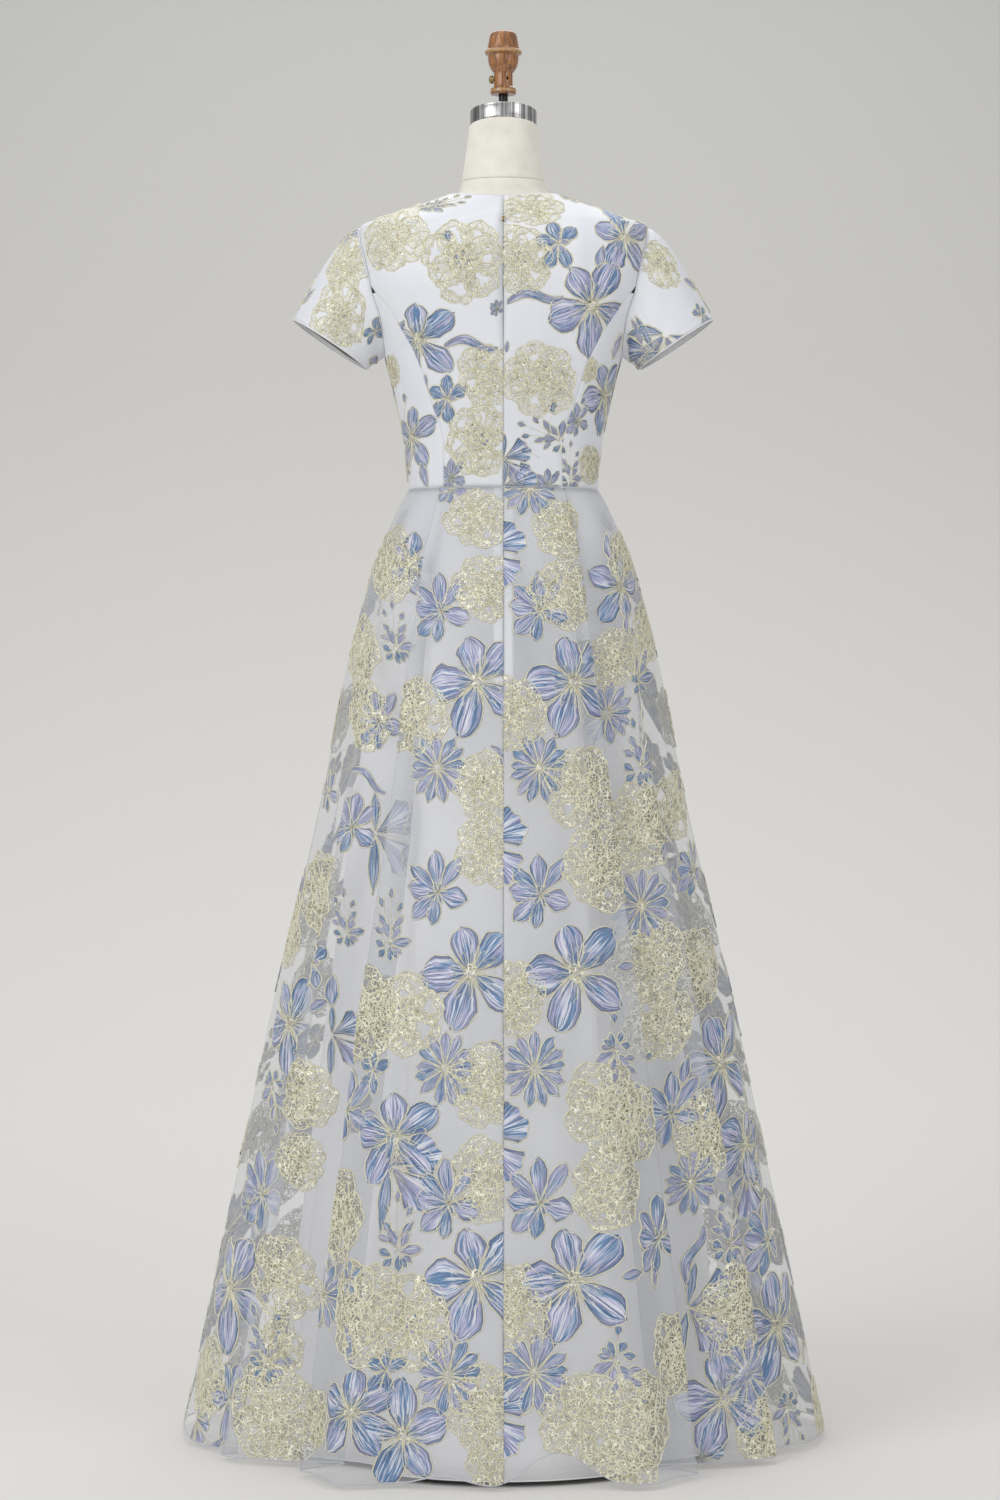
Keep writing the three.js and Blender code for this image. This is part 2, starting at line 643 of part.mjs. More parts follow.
// The steel band: a round block between two tilted planes
function neckBand() {
  const heights = [0, BAND_CHAMFER, BAND_HEIGHT - BAND_CHAMFER, BAND_HEIGHT];
  const radii = [BAND_HALF - BAND_CHAMFER, BAND_HALF, BAND_HALF, BAND_HALF - BAND_CHAMFER];
  return heights.map((height, row) => Array.from({ length: FORM_STEPS }, (_, i) => {
    const turn = (2 * Math.PI * i) / FORM_STEPS;
    const y = -radii[row] * Math.cos(turn);
    const z = NECK_TOP + SEAM_GAP + height - y * BAND_TILT;
    return new THREE.Vector3(radii[row] * Math.sin(turn), y + FINIAL_FORWARD, z);
  }));
}

// The black stem, cut to the band's plane below and standing in the finial's bore
function stem() {
  const circle = (heightOf) => Array.from({ length: ROUND_STEPS }, (_, i) => {
    const turn = (2 * Math.PI * i) / ROUND_STEPS;
    const y = -STEM_RADIUS * Math.cos(turn);
    return new THREE.Vector3(STEM_RADIUS * Math.sin(turn), y + FINIAL_FORWARD, heightOf(y));
  });
  const bandTop = NECK_TOP + SEAM_GAP + BAND_HEIGHT + SEAM_GAP;
  return [circle((y) => bandTop - y * BAND_TILT), circle(() => STEM_TOP)];
}

// A turned solid about the Z axis from a profile of radii and heights
function turned(profile, steps) {
  const last = profile.length - 1;
  const points = [
    new THREE.Vector2(0, profile[0].z),
    ...profile.map(({ radius, z }) => new THREE.Vector2(radius, z)),
    new THREE.Vector2(0, profile[last].top ?? profile[last].z),
  ];
  return new THREE.LatheGeometry(points, steps).rotateX(Math.PI / 2);
}

function toSolid(geometry) {
  const bare = geometry.clone();
  bare.deleteAttribute('normal');
  bare.deleteAttribute('uv');
  const merged = mergeVertices(bare, 1e-4);
  const mesh = { numProp: 3, vertProperties: merged.attributes.position.array, triVerts: merged.index.array };
  return new wasm.Manifold(new wasm.Mesh(mesh));
}

function toGeometry(solid) {
  const { vertProperties, triVerts } = solid.getMesh();
  return indexedGeometry(Array.from(vertProperties), Array.from(triVerts));
}

// The finial, bored from below for the stem, from the side for the screw and for a pin
function finial() {
  const profile = FINIAL.map((row) => ({ ...row }));
  profile[profile.length - 1].top = FINIAL_TOP;
  const rod = (radius, length, steps) => new THREE.CylinderGeometry(radius, radius, length, steps);
  const boreLength = 2 * (FINIAL_BORE_TOP - FINIAL_FOOT);
  const bore = rod(STEM_RADIUS + BORE_CLEARANCE, boreLength, ROUND_STEPS)
    .rotateX(Math.PI / 2).translate(0, 0, FINIAL_FOOT);
  const screwHole = rod(SCREW_SHANK + BORE_CLEARANCE, HOLE_REACH, SMALL_STEPS)
    .rotateZ(Math.PI / 2).translate(-HOLE_REACH / 2, 0, SCREW_HEIGHT);
  const pinHole = rod(PIN_HOLE_RADIUS, HOLE_REACH, SMALL_STEPS).translate(0, -HOLE_REACH / 2, 0)
    .rotateZ(rad(PIN_HOLE_ANGLE)).translate(0, 0, SCREW_HEIGHT);
  const solid = toSolid(turned(profile, ROUND_STEPS))
    .subtract(toSolid(bore)).subtract(toSolid(screwHole)).subtract(toSolid(pinHole));
  return toGeometry(solid);
}

// The screw about its own axis: a rounded head outside the finial and a shank down to the stem
function finialScrew() {
  const tip = STEM_RADIUS + SEAM_GAP;
  const head = FINIAL_NECK_RADIUS + SCREW_HEAD_GAP;
  const profile = [
    { radius: SCREW_SHANK, z: tip },
    { radius: SCREW_SHANK, z: head },
    { radius: SCREW_HEAD * 0.85, z: head },
    { radius: SCREW_HEAD, z: head + SCREW_HEAD_LENGTH * 0.15 },
    { radius: SCREW_HEAD, z: head + SCREW_HEAD_LENGTH * 0.6 },
    { radius: SCREW_HEAD * 0.65, z: head + SCREW_HEAD_LENGTH },
  ];
  return turned(profile, SMALL_STEPS).rotateY(-Math.PI / 2);
}

function foot() {
  return turned([
    { radius: FOOT_RADIUS, z: 0 },
    { radius: FOOT_RADIUS, z: FOOT_HEIGHT - FOOT_EDGE },
    { radius: FOOT_RADIUS - FOOT_EDGE * 0.3, z: FOOT_HEIGHT - FOOT_EDGE * 0.3 },
    { radius: FOOT_RADIUS - FOOT_EDGE, z: FOOT_HEIGHT },
  ], 36);
}

function pole() {
  const bottom = FOOT_HEIGHT + SEAM_GAP;
  const top = FORM_BELOW[0].z - SEAM_GAP;
  return turned([{ radius: POLE_RADIUS, z: bottom }, { radius: POLE_RADIUS, z: top }], ROUND_STEPS);
}

function slider() {
  const lowest = SLIDER_LEVEL - SLIDER_HEIGHT / 2;
  const face = valueAt(BODY, 'back', lowest) + SEAM_GAP + SLIDER_DEPTH / 2;
  return new THREE.BoxGeometry(SLIDER_WIDTH, SLIDER_DEPTH, SLIDER_HEIGHT).translate(0, -face, SLIDER_LEVEL);
}

const group = new THREE.Group();

function add(name, geometry, finish) {
  const mesh = new THREE.Mesh(geometry, new THREE.MeshStandardMaterial({ metalness: 0, ...finish }));
  mesh.name = name;
  group.add(mesh);
  return mesh;
}

function addPanel(name, surface, panel, wall, finish) {
  const outer = insetBorders(panel.map((row) => row.map(({ angle, z }) => surface(angle, z))));
  const inner = outer.map((row, r) => row.map((point, c) => {
    const { angle, z } = panel[r][c];
    return point.clone().addScaledVector(normalOn(surface, angle, z), -wall);
  }));
  return add(name, wallGeometry(outer, inner), finish);
}

function addSleeve(name, outer) {
  const count = outer[0].length;
  const inner = outer.map((row, r) => row.map((point, c) => {
    const across = row[(c + 1) % count].clone().sub(row[(c + count - 1) % count]);
    const along = outer[Math.min(r + 1, SLEEVE_ROWS)][c].clone().sub(outer[Math.max(r - 1, 0)][c]);
    return point.clone().addScaledVector(across.cross(along).normalize(), -SLEEVE_WALL);
  }));
  return add(name, wallGeometry(outer, inner, true), ORGANZA);
}

// Bodice and sleeves
const back = backPanel(6);
const sideBack = sideBackPanel(3);
addPanel('bodice_front', bodice, frontPanel(8), BODICE_WALL, ORGANZA);
addPanel('bodice_back_right', bodice, back, BODICE_WALL, ORGANZA);
addPanel('bodice_back_left', bodice, mirrored(back), BODICE_WALL, ORGANZA);
addPanel('bodice_side_back_right', bodice, sideBack, BODICE_WALL, ORGANZA);
addPanel('bodice_side_back_left', bodice, mirrored(sideBack), BODICE_WALL, ORGANZA);
const sleeveGrid = sleeve();
addSleeve('sleeve_right', sleeveGrid);
addSleeve('sleeve_left', mirroredGrid(sleeveGrid));

// Skirt and its lining, each a quarter between the centre seams and the side seams
addPanel('skirt_back_right', skirt, organzaPanel(0, 90), SKIRT_WALL, ORGANZA);
addPanel('skirt_back_left', skirt, organzaPanel(-90, 0), SKIRT_WALL, ORGANZA);
addPanel('skirt_front_right', skirt, organzaPanel(90, 180), SKIRT_WALL, ORGANZA);
addPanel('skirt_front_left', skirt, organzaPanel(-180, -90), SKIRT_WALL, ORGANZA);
addPanel('lining_back_right', lining, liningPanel(0, 90), LINING_WALL, WHITE_LINING);
addPanel('lining_back_left', lining, liningPanel(-90, 0), LINING_WALL, WHITE_LINING);
addPanel('lining_front_right', lining, liningPanel(90, 180), LINING_WALL, WHITE_LINING);
addPanel('lining_front_left', lining, liningPanel(-180, -90), LINING_WALL, WHITE_LINING);

// Zip
add('zip_tape', wallGeometry(...zipTape()), WHITE_LINING);
add('zip_slider', slider(), STEEL);

// Dress form and its stand
add('form_torso', ringGeometry(formTorso()), CANVAS);
add('form_neck', ringGeometry(formNeck()), CANVAS);
add('neck_band', ringGeometry(neckBand()), STEEL);
add('finial_stem', ringGeometry(stem()), BLACK_STEEL);
const finialMesh = add('finial', finial(), WOOD);
finialMesh.position.y = FINIAL_FORWARD;
const screwMesh = add('finial_screw', finialScrew(), STEEL);
screwMesh.position.set(0, FINIAL_FORWARD, SCREW_HEIGHT);
add('stand_pole', pole(), BLACK_STEEL);
add('stand_foot', foot(), BLACK_STEEL);

export default group;
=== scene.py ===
"""A floor-length dress of sheer flowered brocade on a limbless dress form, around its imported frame.

Lengths are millimetres on the frame's axes until a mesh is made, and Blender has metres. Angles
round the body are degrees from the centre back: 90 is the +X side seam and 180 the centre front.
"""

import logging
import math
from collections.abc import Callable, Iterable, Sequence
from dataclasses import dataclass, field
from enum import Enum
from functools import partial

import bpy
import numpy as np
from bpy.types import ID, Material, Node, NodeSocket, NodeTree, Object
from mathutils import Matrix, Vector


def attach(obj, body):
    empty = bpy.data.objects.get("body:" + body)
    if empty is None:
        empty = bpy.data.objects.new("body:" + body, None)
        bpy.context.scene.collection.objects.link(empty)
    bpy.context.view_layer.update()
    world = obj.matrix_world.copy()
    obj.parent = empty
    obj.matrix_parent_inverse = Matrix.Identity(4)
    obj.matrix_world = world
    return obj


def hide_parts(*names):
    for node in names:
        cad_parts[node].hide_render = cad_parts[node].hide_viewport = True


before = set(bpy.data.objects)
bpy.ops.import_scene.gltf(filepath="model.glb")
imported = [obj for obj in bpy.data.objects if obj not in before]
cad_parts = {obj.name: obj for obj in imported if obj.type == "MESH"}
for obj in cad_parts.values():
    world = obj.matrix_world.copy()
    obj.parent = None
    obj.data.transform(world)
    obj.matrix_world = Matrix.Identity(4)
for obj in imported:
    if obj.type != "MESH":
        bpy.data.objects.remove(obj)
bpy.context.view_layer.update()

LOG = logging.getLogger("dress")
MM = 0.001
BODY = "dress_and_form"
SCREW_BODY = "screw"

# Heights of the seams and edges, as the frame has them
WAIST = 1141.0
UNDERARM = 1305.0
YOKE = 1386.0
PANEL_TIP = 1376.0
SHOULDER_TIP = 1462.0
NECK_POINT = 1504.0
HEM = 6.0
# The gap between two pieces, and how deep and how far from it a seam draws the cloth in
SEAM_GAP = 0.3
SEAM_DIP = 0.4
SEAM_WIDTH = 2.2

Array = np.ndarray
Places = tuple[Array, Array]


# Materials


def linear(code: str) -> tuple[float, float, float, float]:
    """Turn an sRGB colour into Blender's linear one.

    Args:
        code: The colour as six hex digits.

    Returns:
        Linear red, green, blue and an alpha of 1.
    """
    parts = [int(code[i : i + 2], 16) / 255 for i in (0, 2, 4)]
    channels = [p / 12.92 if p <= 0.04045 else ((p + 0.055) / 1.055) ** 2.4 for p in parts]
    return (*channels, 1.0)


def add_node(
    tree: NodeTree,
    kind: str,
    inputs: dict[str | int, object] | None = None,
    stops: Sequence[tuple[float, str]] = (),
    **settings: object,
) -> Node:
    """Add a node with its settings, its values and its links.

    Args:
        tree: The tree that takes the node.
        kind: The node's type, in which "ShaderNode" may be left out.
        inputs: A value, a socket or a node with its first output, for each input's name or number.
        stops: Places and hex colours, for a colour ramp.
        settings: The node's own properties.

    Returns:
        The new node.
    """
    made = tree.nodes.new(kind if "Node" in kind else f"ShaderNode{kind}")
    for key, value in settings.items():
        setattr(made, key, value)
    for key, value in (inputs or {}).items():
        value = value.outputs[0] if isinstance(value, Node) else value
        if isinstance(value, NodeSocket):
            tree.links.new(value, made.inputs[key])
        else:
            made.inputs[key].default_value = value
    if stops:
        elements = made.color_ramp.elements
        while len(elements) < len(stops):
            elements.new(1.0)
        for element, (place, code) in zip(elements, stops):
            element.position = place
            element.color = linear(code)
    return made


Inputs = dict[str | int, object]
Adder = Callable[..., Node]


@dataclass(frozen=True)
class Finish:
    """A material's name and plain values, which each real finish adds its pattern to."""

    name: str
    colour: str
    roughness: float = 0.5
    metallic: float = 0.0

    def make(self) -> Material:
        """Make the material.

        Returns:
            The material, with its pattern joined to one Principled shader.
        """
        material = bpy.data.materials.new(self.name)
        material.use_nodes = True
        tree = material.node_tree
        tree.nodes.clear()
        plain = {"Base Color": linear(self.colour), "Roughness": self.roughness, "Metallic": self.metallic}
        shader = add_node(tree, "BsdfPrincipled", {**plain, **self.pattern(partial(add_node, tree))})
        add_node(tree, "OutputMaterial", {"Surface": shader})
        return material

    def pattern(self, add: Adder) -> Inputs:
        """The shader's inputs that the plain values lack; the plain finish has none."""
        return {}


@dataclass(frozen=True)
class WovenCloth(Finish):
    """Plain-woven filament cloth, whose threads catch the light and whose tone drifts a little."""

    shade: str = "c0c4cc"
    thread_mm: float = 0.6
    alpha: float = 1.0
    sheen: float = 0.25
    bump: float = 0.12
    gathered: float = 0.0

    def pattern(self, add: Adder) -> Inputs:
        """Weave threads both ways on the cloth's own map and mottle its tone.

        Args:
            add: Adds a node to the material's tree.

        Returns:
            What goes into the shader's inputs.
        """
        map_of = add("UVMap", uv_map="Cloth")
        turns = math.tau / (self.thread_mm * MM * 20)
        wave = {"Vector": map_of, "Scale": turns, "Distortion": 1.2, "Detail": 1.0}
        across, along = (add("TexWave", wave, bands_direction=way) for way in ("X", "Y"))
        weave = add("Math", {0: across.outputs["Fac"], 1: along.outputs["Fac"]}, operation="MULTIPLY")
        place = add("Mapping", {0: map_of, 3: (14.0, 2.5, 1.0)})
        drift = add("TexNoise", {"Vector": place, "Scale": 1.0, "Detail": 3.0, "Roughness": 0.55})
        tone = add("Math", {0: weave, 1: 0.35, 2: drift.outputs["Fac"]}, operation="MULTIPLY_ADD")
        alpha = self.alpha
        if self.gathered:
            # The skirt's fullness packs the threads closer toward the waist seam
            height = add("SeparateXYZ", {0: add("TexCoord").outputs["Object"]}).outputs["Z"]
            alpha = add("MapRange", {"Value": height, 1: 0.95, 2: 1.12, 3: self.alpha, 4: self.gathered})
        return {
            "Base Color": add("ValToRGB", {"Fac": tone}, ((0.3, self.shade), (0.85, self.colour))),
            "Normal": add("Bump", {"Height": weave, "Strength": self.bump, "Distance": 0.0004}),
            "Sheen Weight": self.sheen,
            "Sheen Roughness": 0.35,
            "Alpha": alpha,
        }


@dataclass(frozen=True)
class PetalBrocade(Finish):
    """Floating silk-like wefts: lavender petals shot with blue toward one edge and the heart, with painted
    highlights and painted shade on their relief and painted shade along their edges.
    """

    blue: str = "5c8aba"
    # deep is painted shade, in the relief's troughs and along the petals' edges; light is the pale weft and
    # also the painted highlight on the crests
    deep: str = "40587f"
    light: str = "f4f4fb"

    def pattern(self, add: Adder) -> Inputs:
        """Run streaks of the wefts along each petal's own map, and paint highlights and shade onto their
        relief.

        Args:
            add: Adds a node to the material's tree.

        Returns:
            What goes into the shader's inputs.
        """
        tint = add("Attribute", attribute_name="tint").outputs["Fac"]
        parts = add("SeparateXYZ", {0: add("UVMap", uv_map="Petal")})
        seed = add("Math", {0: tint, 1: 37.0}, operation="MULTIPLY")
        streak_at = add("CombineXYZ", {"X": parts.outputs["X"], "Y": parts.outputs["Y"], "Z": seed})
        scales = ((2.2, 0.9, 1.0), (11.0, 1.3, 1.0), (1.1, 7.0, 1.0))
        places = [add("Mapping", {0: streak_at, 3: scale}) for scale in scales]
        noise = {"Scale": 1.0, "Detail": 2.0}
        rough = {**noise, "Roughness": 0.6}
        broad, fine = (add("TexNoise", {"Vector": place, **rough}) for place in places[:2])
        crumple = add("TexNoise", {"Vector": places[2], **noise})
        share = add("Math", {0: tint, 1: 0.5, 2: broad}, operation="MULTIPLY_ADD")
        ragged = add("Math", {0: fine, 1: 0.5, 2: share}, operation="MULTIPLY_ADD")
        level = add("MapRange", {"Value": ragged, 1: 0.45, 2: 1.45, 3: 0.0, 4: 1.0})
        bands = ((0.0, self.light), (0.3, self.colour), (0.49, self.colour), (0.54, self.blue))
        body = add("ValToRGB", {"Fac": level}, bands)
        # Painted highlight: the crests of the fine relief, which the bump raises, are painted pale
        painted_highlight = add("MapRange", {"Value": fine, 1: 0.52, 2: 0.58, 3: 0.0, 4: 0.85})
        # Painted shade: the troughs of the same relief are painted deep blue
        dark = add("MapRange", {"Value": fine, 1: 0.47, 2: 0.39, 3: 0.0, 4: 0.75})
        lit = add("Mix", {0: painted_highlight, 6: body, 7: linear(self.light)}, data_type="RGBA")
        # Painted shade along the petal's sides, where it slopes down under its cord
        middle = add("Math", {0: parts}, operation="ABSOLUTE")
        rim = add("MapRange", {"Value": middle, 1: 0.7, 2: 0.92, 3: 0.0, 4: 0.85})
        edge = add("Math", {0: dark, 1: rim}, operation="MAXIMUM")
        shaded = add("Mix", {0: edge, 6: lit.outputs[2], 7: linear(self.deep)}, data_type="RGBA")
        height = add("Math", {0: fine, 1: crumple}, operation="ADD")
        return {
            "Base Color": shaded.outputs[2],
            "Normal": add("Bump", {"Height": height, "Strength": 0.8, "Distance": 0.0022}),
            "Sheen Weight": 0.2,
            "Alpha": 0.9,
        }


@dataclass(frozen=True)
class MetallicYarn(Finish):
    """Flat metallic film wound on a core: raised lines with a painted highlight on their crests and painted
    shade at their foot, and gaps between them which may be open.
    """

    # gap is painted shade at the foot of the raised lines, and bright is a painted highlight on their
    # crests
    gap: str = "857d58"
    bright: str = "fbfaea"
    turn_mm: float = 1.6
    bump: float = 0.6
    opening: float = 1.0

    def pattern(self, add: Adder) -> Inputs:
        """Lay the film as a net of crinkled lines, paint their highlight and shade, and let the gaps
        between them show through.

        Args:
            add: Adds a node to the material's tree.

        Returns:
            What goes into the shader's inputs.
        """
        place = add("TexCoord").outputs["Object"]
        drift = add("TexNoise", {"Vector": place, "Scale": 160.0, "Detail": 2.0})
        turn = self.turn_mm * MM
        shifts = {0: drift.outputs["Color"], 1: (turn,) * 3, 2: place}
        wavy = add("VectorMath", shifts, operation="MULTIPLY_ADD")
        net = add("TexVoronoi", {"Vector": wavy, "Scale": 1.0 / turn}, feature="DISTANCE_TO_EDGE")
        net = net.outputs["Distance"]
        level = add("Math", {0: drift, 1: 0.3, 2: net}, operation="MULTIPLY_ADD")
        # Painted highlight on the lines, the film's colour, painted shade at their foot, then the colour
        # again
        bands = ((0.16, self.bright), (0.2, self.colour), (0.26, self.gap), (0.33, self.colour))
        return {
            "Base Color": add("ValToRGB", {"Fac": level}, bands),
            "Normal": add("Bump", {"Height": net, "Strength": self.bump, "Distance": 0.0008}, invert=True),
            "Alpha": add("MapRange", {"Value": level, 1: 0.25, 2: 0.28, 3: 1.0, 4: self.opening}),
        }


@dataclass(frozen=True)
class Canvas(Finish):
    """Unbleached cotton canvas, plain-woven from thick soft yarns."""

    shade: str = "e6e2d5"
    yarn_mm: float = 1.3

    def pattern(self, add: Adder) -> Inputs:
        """Cross two sets of yarns by place and mottle the cotton.

        Args:
            add: Adds a node to the material's tree.

        Returns:
            What goes into the shader's inputs.
        """
        place = add("TexCoord").outputs["Object"]
        wave = {"Vector": place, "Scale": math.tau / (self.yarn_mm * MM * 20), "Distortion": 0.8}
        sets = [add("TexWave", wave, bands_direction=way).outputs["Fac"] for way in ("X", "Z")]
        weave = add("Math", dict(enumerate(sets)), operation="MULTIPLY")
        mottle = add("TexNoise", {"Vector": place, "Scale": 45.0, "Detail": 4.0})
        tone = add("Math", {0: weave, 1: 0.4, 2: mottle}, operation="MULTIPLY_ADD")
        return {
            "Base Color": add("ValToRGB", {"Fac": tone}, ((0.3, self.shade), (0.8, self.colour))),
            "Normal": add("Bump", {"Height": weave, "Strength": 0.25, "Distance": 0.0006}),
        }


@dataclass(frozen=True)
class BrushedSteel(Finish):
    """Stainless steel brushed along its height, which breaks reflections into upright streaks."""

    dark: str = "7d7a79"
    streaks: tuple[float, float, float] = (260.0, 260.0, 6.0)

    def pattern(self, add: Adder) -> Inputs:
        """Stretch fine noise upright for the brush lines.

        Args:
            add: Adds a node to the material's tree.

        Returns:
            What goes into the shader's inputs.
        """
        lines = add("Mapping", {0: add("TexCoord").outputs["Object"], 3: self.streaks})
        brush = add("TexNoise", {"Vector": lines, "Scale": 1.0, "Detail": 3.0})
        return {
            "Base Color": add("ValToRGB", {"Fac": brush}, ((0.35, self.dark), (0.65, self.colour))),
            "Normal": add("Bump", {"Height": brush, "Strength": 0.15, "Distance": 0.0003}),
            "Anisotropic": 0.6,
        }


@dataclass(frozen=True)
class VarnishedWood(Finish):
    """Stained hardwood turned on a lathe and varnished, rubbed paler on its sharp edges."""

    dark: str = "5a3a26"
    rubbed: str = "c19a64"
    edges: tuple[tuple[float, float], ...] = ((1678.0, 22.7), (1630.8, 15.7))
    axis_y: float = 8.0

    def pattern(self, add: Adder) -> Inputs:
        """Run the grain along the axis and rub the stain off the rims.

        Args:
            add: Adds a node to the material's tree.

        Returns:
            What goes into the shader's inputs.
        """
        centred = add("Mapping", {0: add("TexCoord").outputs["Object"], 1: (0.0, -self.axis_y * MM, 0.0)})
        grain_at = add("Mapping", {0: centred, 3: (420.0, 420.0, 28.0)})
        grain = add("TexNoise", {"Vector": grain_at, "Scale": 1.0, "Detail": 4.0, "Distortion": 0.4})
        colour = add("ValToRGB", {"Fac": grain}, ((0.32, self.dark), (0.68, self.colour))).outputs[0]
        flat = add("VectorMath", {0: centred, 1: (1.0, 1.0, 0.0)}, operation="MULTIPLY")
        radius = add("VectorMath", {0: flat}, operation="LENGTH").outputs["Value"]
        height = add("SeparateXYZ", {0: centred}).outputs["Z"]
        for rim_height, rim in self.edges:
            off = add("Math", {0: height, 1: rim_height * MM, 2: 0.0016}, operation="COMPARE")
            near = add("MapRange", {"Value": radius, 1: (rim - 1.4) * MM, 2: rim * MM, 3: 0.0, 4: 0.75})
            share = add("Math", {0: off, 1: near}, operation="MULTIPLY")
            colour = add("Mix", {0: share, 6: colour, 7: linear(self.rubbed)}, data_type="RGBA").outputs[2]
        relief = add("Bump", {"Height": grain, "Strength": 0.1, "Distance": 0.0004})
        return {"Base Color": colour, "Normal": relief, "Coat Weight": 0.6, "Coat Roughness": 0.22}


@dataclass(frozen=True)
class PaintedSteel(Finish):
    """A hard smooth coat, such as enamel sprayed on steel, with the faint orange peel of spray."""

    peel_mm: float = 1.5

    def pattern(self, add: Adder) -> Inputs:
        """Dimple the enamel and vary its gloss.

        Args:
            add: Adds a node to the material's tree.

        Returns:
            What goes into the shader's inputs.
        """
        place = add("TexCoord").outputs["Object"]
        peel = add("TexNoise", {"Vector": place, "Scale": 1 / (self.peel_mm * MM), "Detail": 2.0})
        low, high = self.roughness - 0.08, self.roughness + 0.1
        return {
            "Roughness": add("MapRange", {"Value": peel, 3: low, 4: high}),
            "Normal": add("Bump", {"Height": peel, "Strength": 0.08, "Distance": 0.0003}),
        }


@dataclass(frozen=True)
class Paper(Finish):
    """Matt background paper, with painted shade that grades it from a pale floor to a greyer top as the
    studio light falls off.
    """

    # The colour at the top of the painted shade: the paper is painted greyer with height
    top: str = "b9b9b5"
    top_height: float = 3.2

    def pattern(self, add: Adder) -> Inputs:
        """Paint the light's fall-off into the paper by its height.

        Args:
            add: Adds a node to the material's tree.

        Returns:
            What goes into the shader's inputs.
        """
        height = add("SeparateXYZ", {0: add("TexCoord").outputs["Object"]}).outputs["Z"]
        share = add("MapRange", {"Value": height, 1: 0.0, 2: self.top_height})
        return {"Base Color": add("ValToRGB", {"Fac": share}, ((0.05, self.colour), (1.0, self.top)))}


class Finishes:
    """The finishes of the dress and of its form, each made once."""

    def __init__(self) -> None:
        """Make every material."""
        # Polyester organza: sheer, crisp, with a cool silvery gloss
        self.organza = WovenCloth(
            "sheer_polyester_organza", "f6f7fa", 0.42, shade="e0e3ea", alpha=0.16, sheen=0.3, gathered=0.42
        ).make()
        # The same organza laid close over white satin: bright and hardly sheer
        self.backed_organza = WovenCloth(
            "organza_over_satin", "f3f4f8", 0.5, shade="dfe2ea", sheen=0.3
        ).make()
        # Acetate taffeta lining: white, opaque, smooth
        self.lining = WovenCloth(
            "acetate_taffeta", "f3f3f5", 0.55, shade="eeeef1", sheen=0.15, bump=0.06
        ).make()
        # Silk-like wefts that float on the face of the brocade, with painted highlights and painted shade
        # on their relief and edges
        self.petals = PetalBrocade("floating_brocade_weft", "b7b8dc", 0.45).make()
        # Gimp cord wound with pale gold film, along the edges of the petals, with a painted highlight and
        # painted shade on its film
        self.cord = MetallicYarn("gold_film_gimp", "fbf7df", 0.35, 0.0, gap="a59d78").make()
        # Crimped gold film woven in a heap, which fills the pale flowers, with painted highlights and
        # painted shade on its crinkles
        self.lurex = MetallicYarn(
            "crimped_gold_film", "e4e0c0", 0.42, 0.12, gap="716a48", turn_mm=4.4, opening=0.03
        ).make()
        # The organza's hem, rolled three times round: denser and whiter
        self.hem = WovenCloth("rolled_organza_hem", "e6e7ec", 0.5, shade="cfd2da", alpha=0.75).make()
        # Spun polyester sewing thread
        self.thread = PaintedSteel("polyester_thread", "dcdde2", 0.6).make()
        # Cotton canvas stretched over the form
        self.canvas = Canvas("cotton_canvas", "f6f3e8", 0.9).make()
        self.steel = BrushedSteel("brushed_stainless_steel", "f2f2f2", 0.28, 1.0).make()
        self.black = PaintedSteel("black_enamelled_steel", "151517", 0.4).make()
        self.wood = VarnishedWood("varnished_turned_beech", "bf8046", 0.38).make()
        # Zinc-plated brass, rubbed by fingers
        self.brass = BrushedSteel(
            "worn_plated_brass", "cdbb8a", 0.35, 1.0, dark="8c7a4e", streaks=(90.0, 90.0, 90.0)
        ).make()
        # Nylon zip coil, moulded, dull grey against the white; its grey also stands in as painted shade for
        # the shadow line along the zipped seam
        self.nylon = PaintedSteel("moulded_nylon_coil", "9fa3ab", 0.5).make()


# Surfaces


@dataclass(frozen=True)
class Curve:
    """A smooth value over rising keys, which never passes its neighbours."""

    keys: tuple[float, ...]
    values: tuple[float, ...]

    def at(self, where: Array | float) -> Array:
        """Read the curve.

        Args:
            where: Keys to read it at, held inside the first and the last.

        Returns:
            The values there.
        """
        keys, values = np.array(self.keys), np.array(self.values)
        slopes = np.diff(values) / np.diff(keys)
        before, after = slopes[:-1], slopes[1:]
        same_way = before * after > 0
        total = np.where(same_way, before + after, 1.0)
        middle = np.where(same_way, 2 * before * after / total, 0.0)
        tangents = np.concatenate([slopes[:1], middle, slopes[-1:]])
        where = np.clip(np.asarray(where, float), keys[0], keys[-1])
        row = np.clip(np.searchsorted(keys, where, side="right") - 1, 0, len(keys) - 2)
        span = keys[row + 1] - keys[row]
        t = (where - keys[row]) / span
        rise = t * t * (3 - 2 * t)
        return (
            values[row] * (1 - rise)
            + values[row + 1] * rise
            + span * tangents[row] * t * (1 - t) ** 2
            - span * tangents[row + 1] * t * t * (1 - t)
        )


def running(grid: Array, axis: int) -> Array:
    """How far along each point of a grid lies, summed along one axis."""
    steps = np.cumsum(np.linalg.norm(np.diff(grid, axis=axis), axis=-1), axis=axis)
    return np.pad(steps, ((1, 0), (0, 0)) if axis == 0 else ((0, 0), (1, 0)))


def sunk(away: Array) -> Array:
    """How much of the seam's dip is left at a distance from it."""
    return np.exp(-((away / SEAM_WIDTH) ** 2))


def side_of(name: str) -> int:
    """Which side a piece lies on, by its name: -1 for the left one, else 1."""
    return -1 if "left" in name else 1


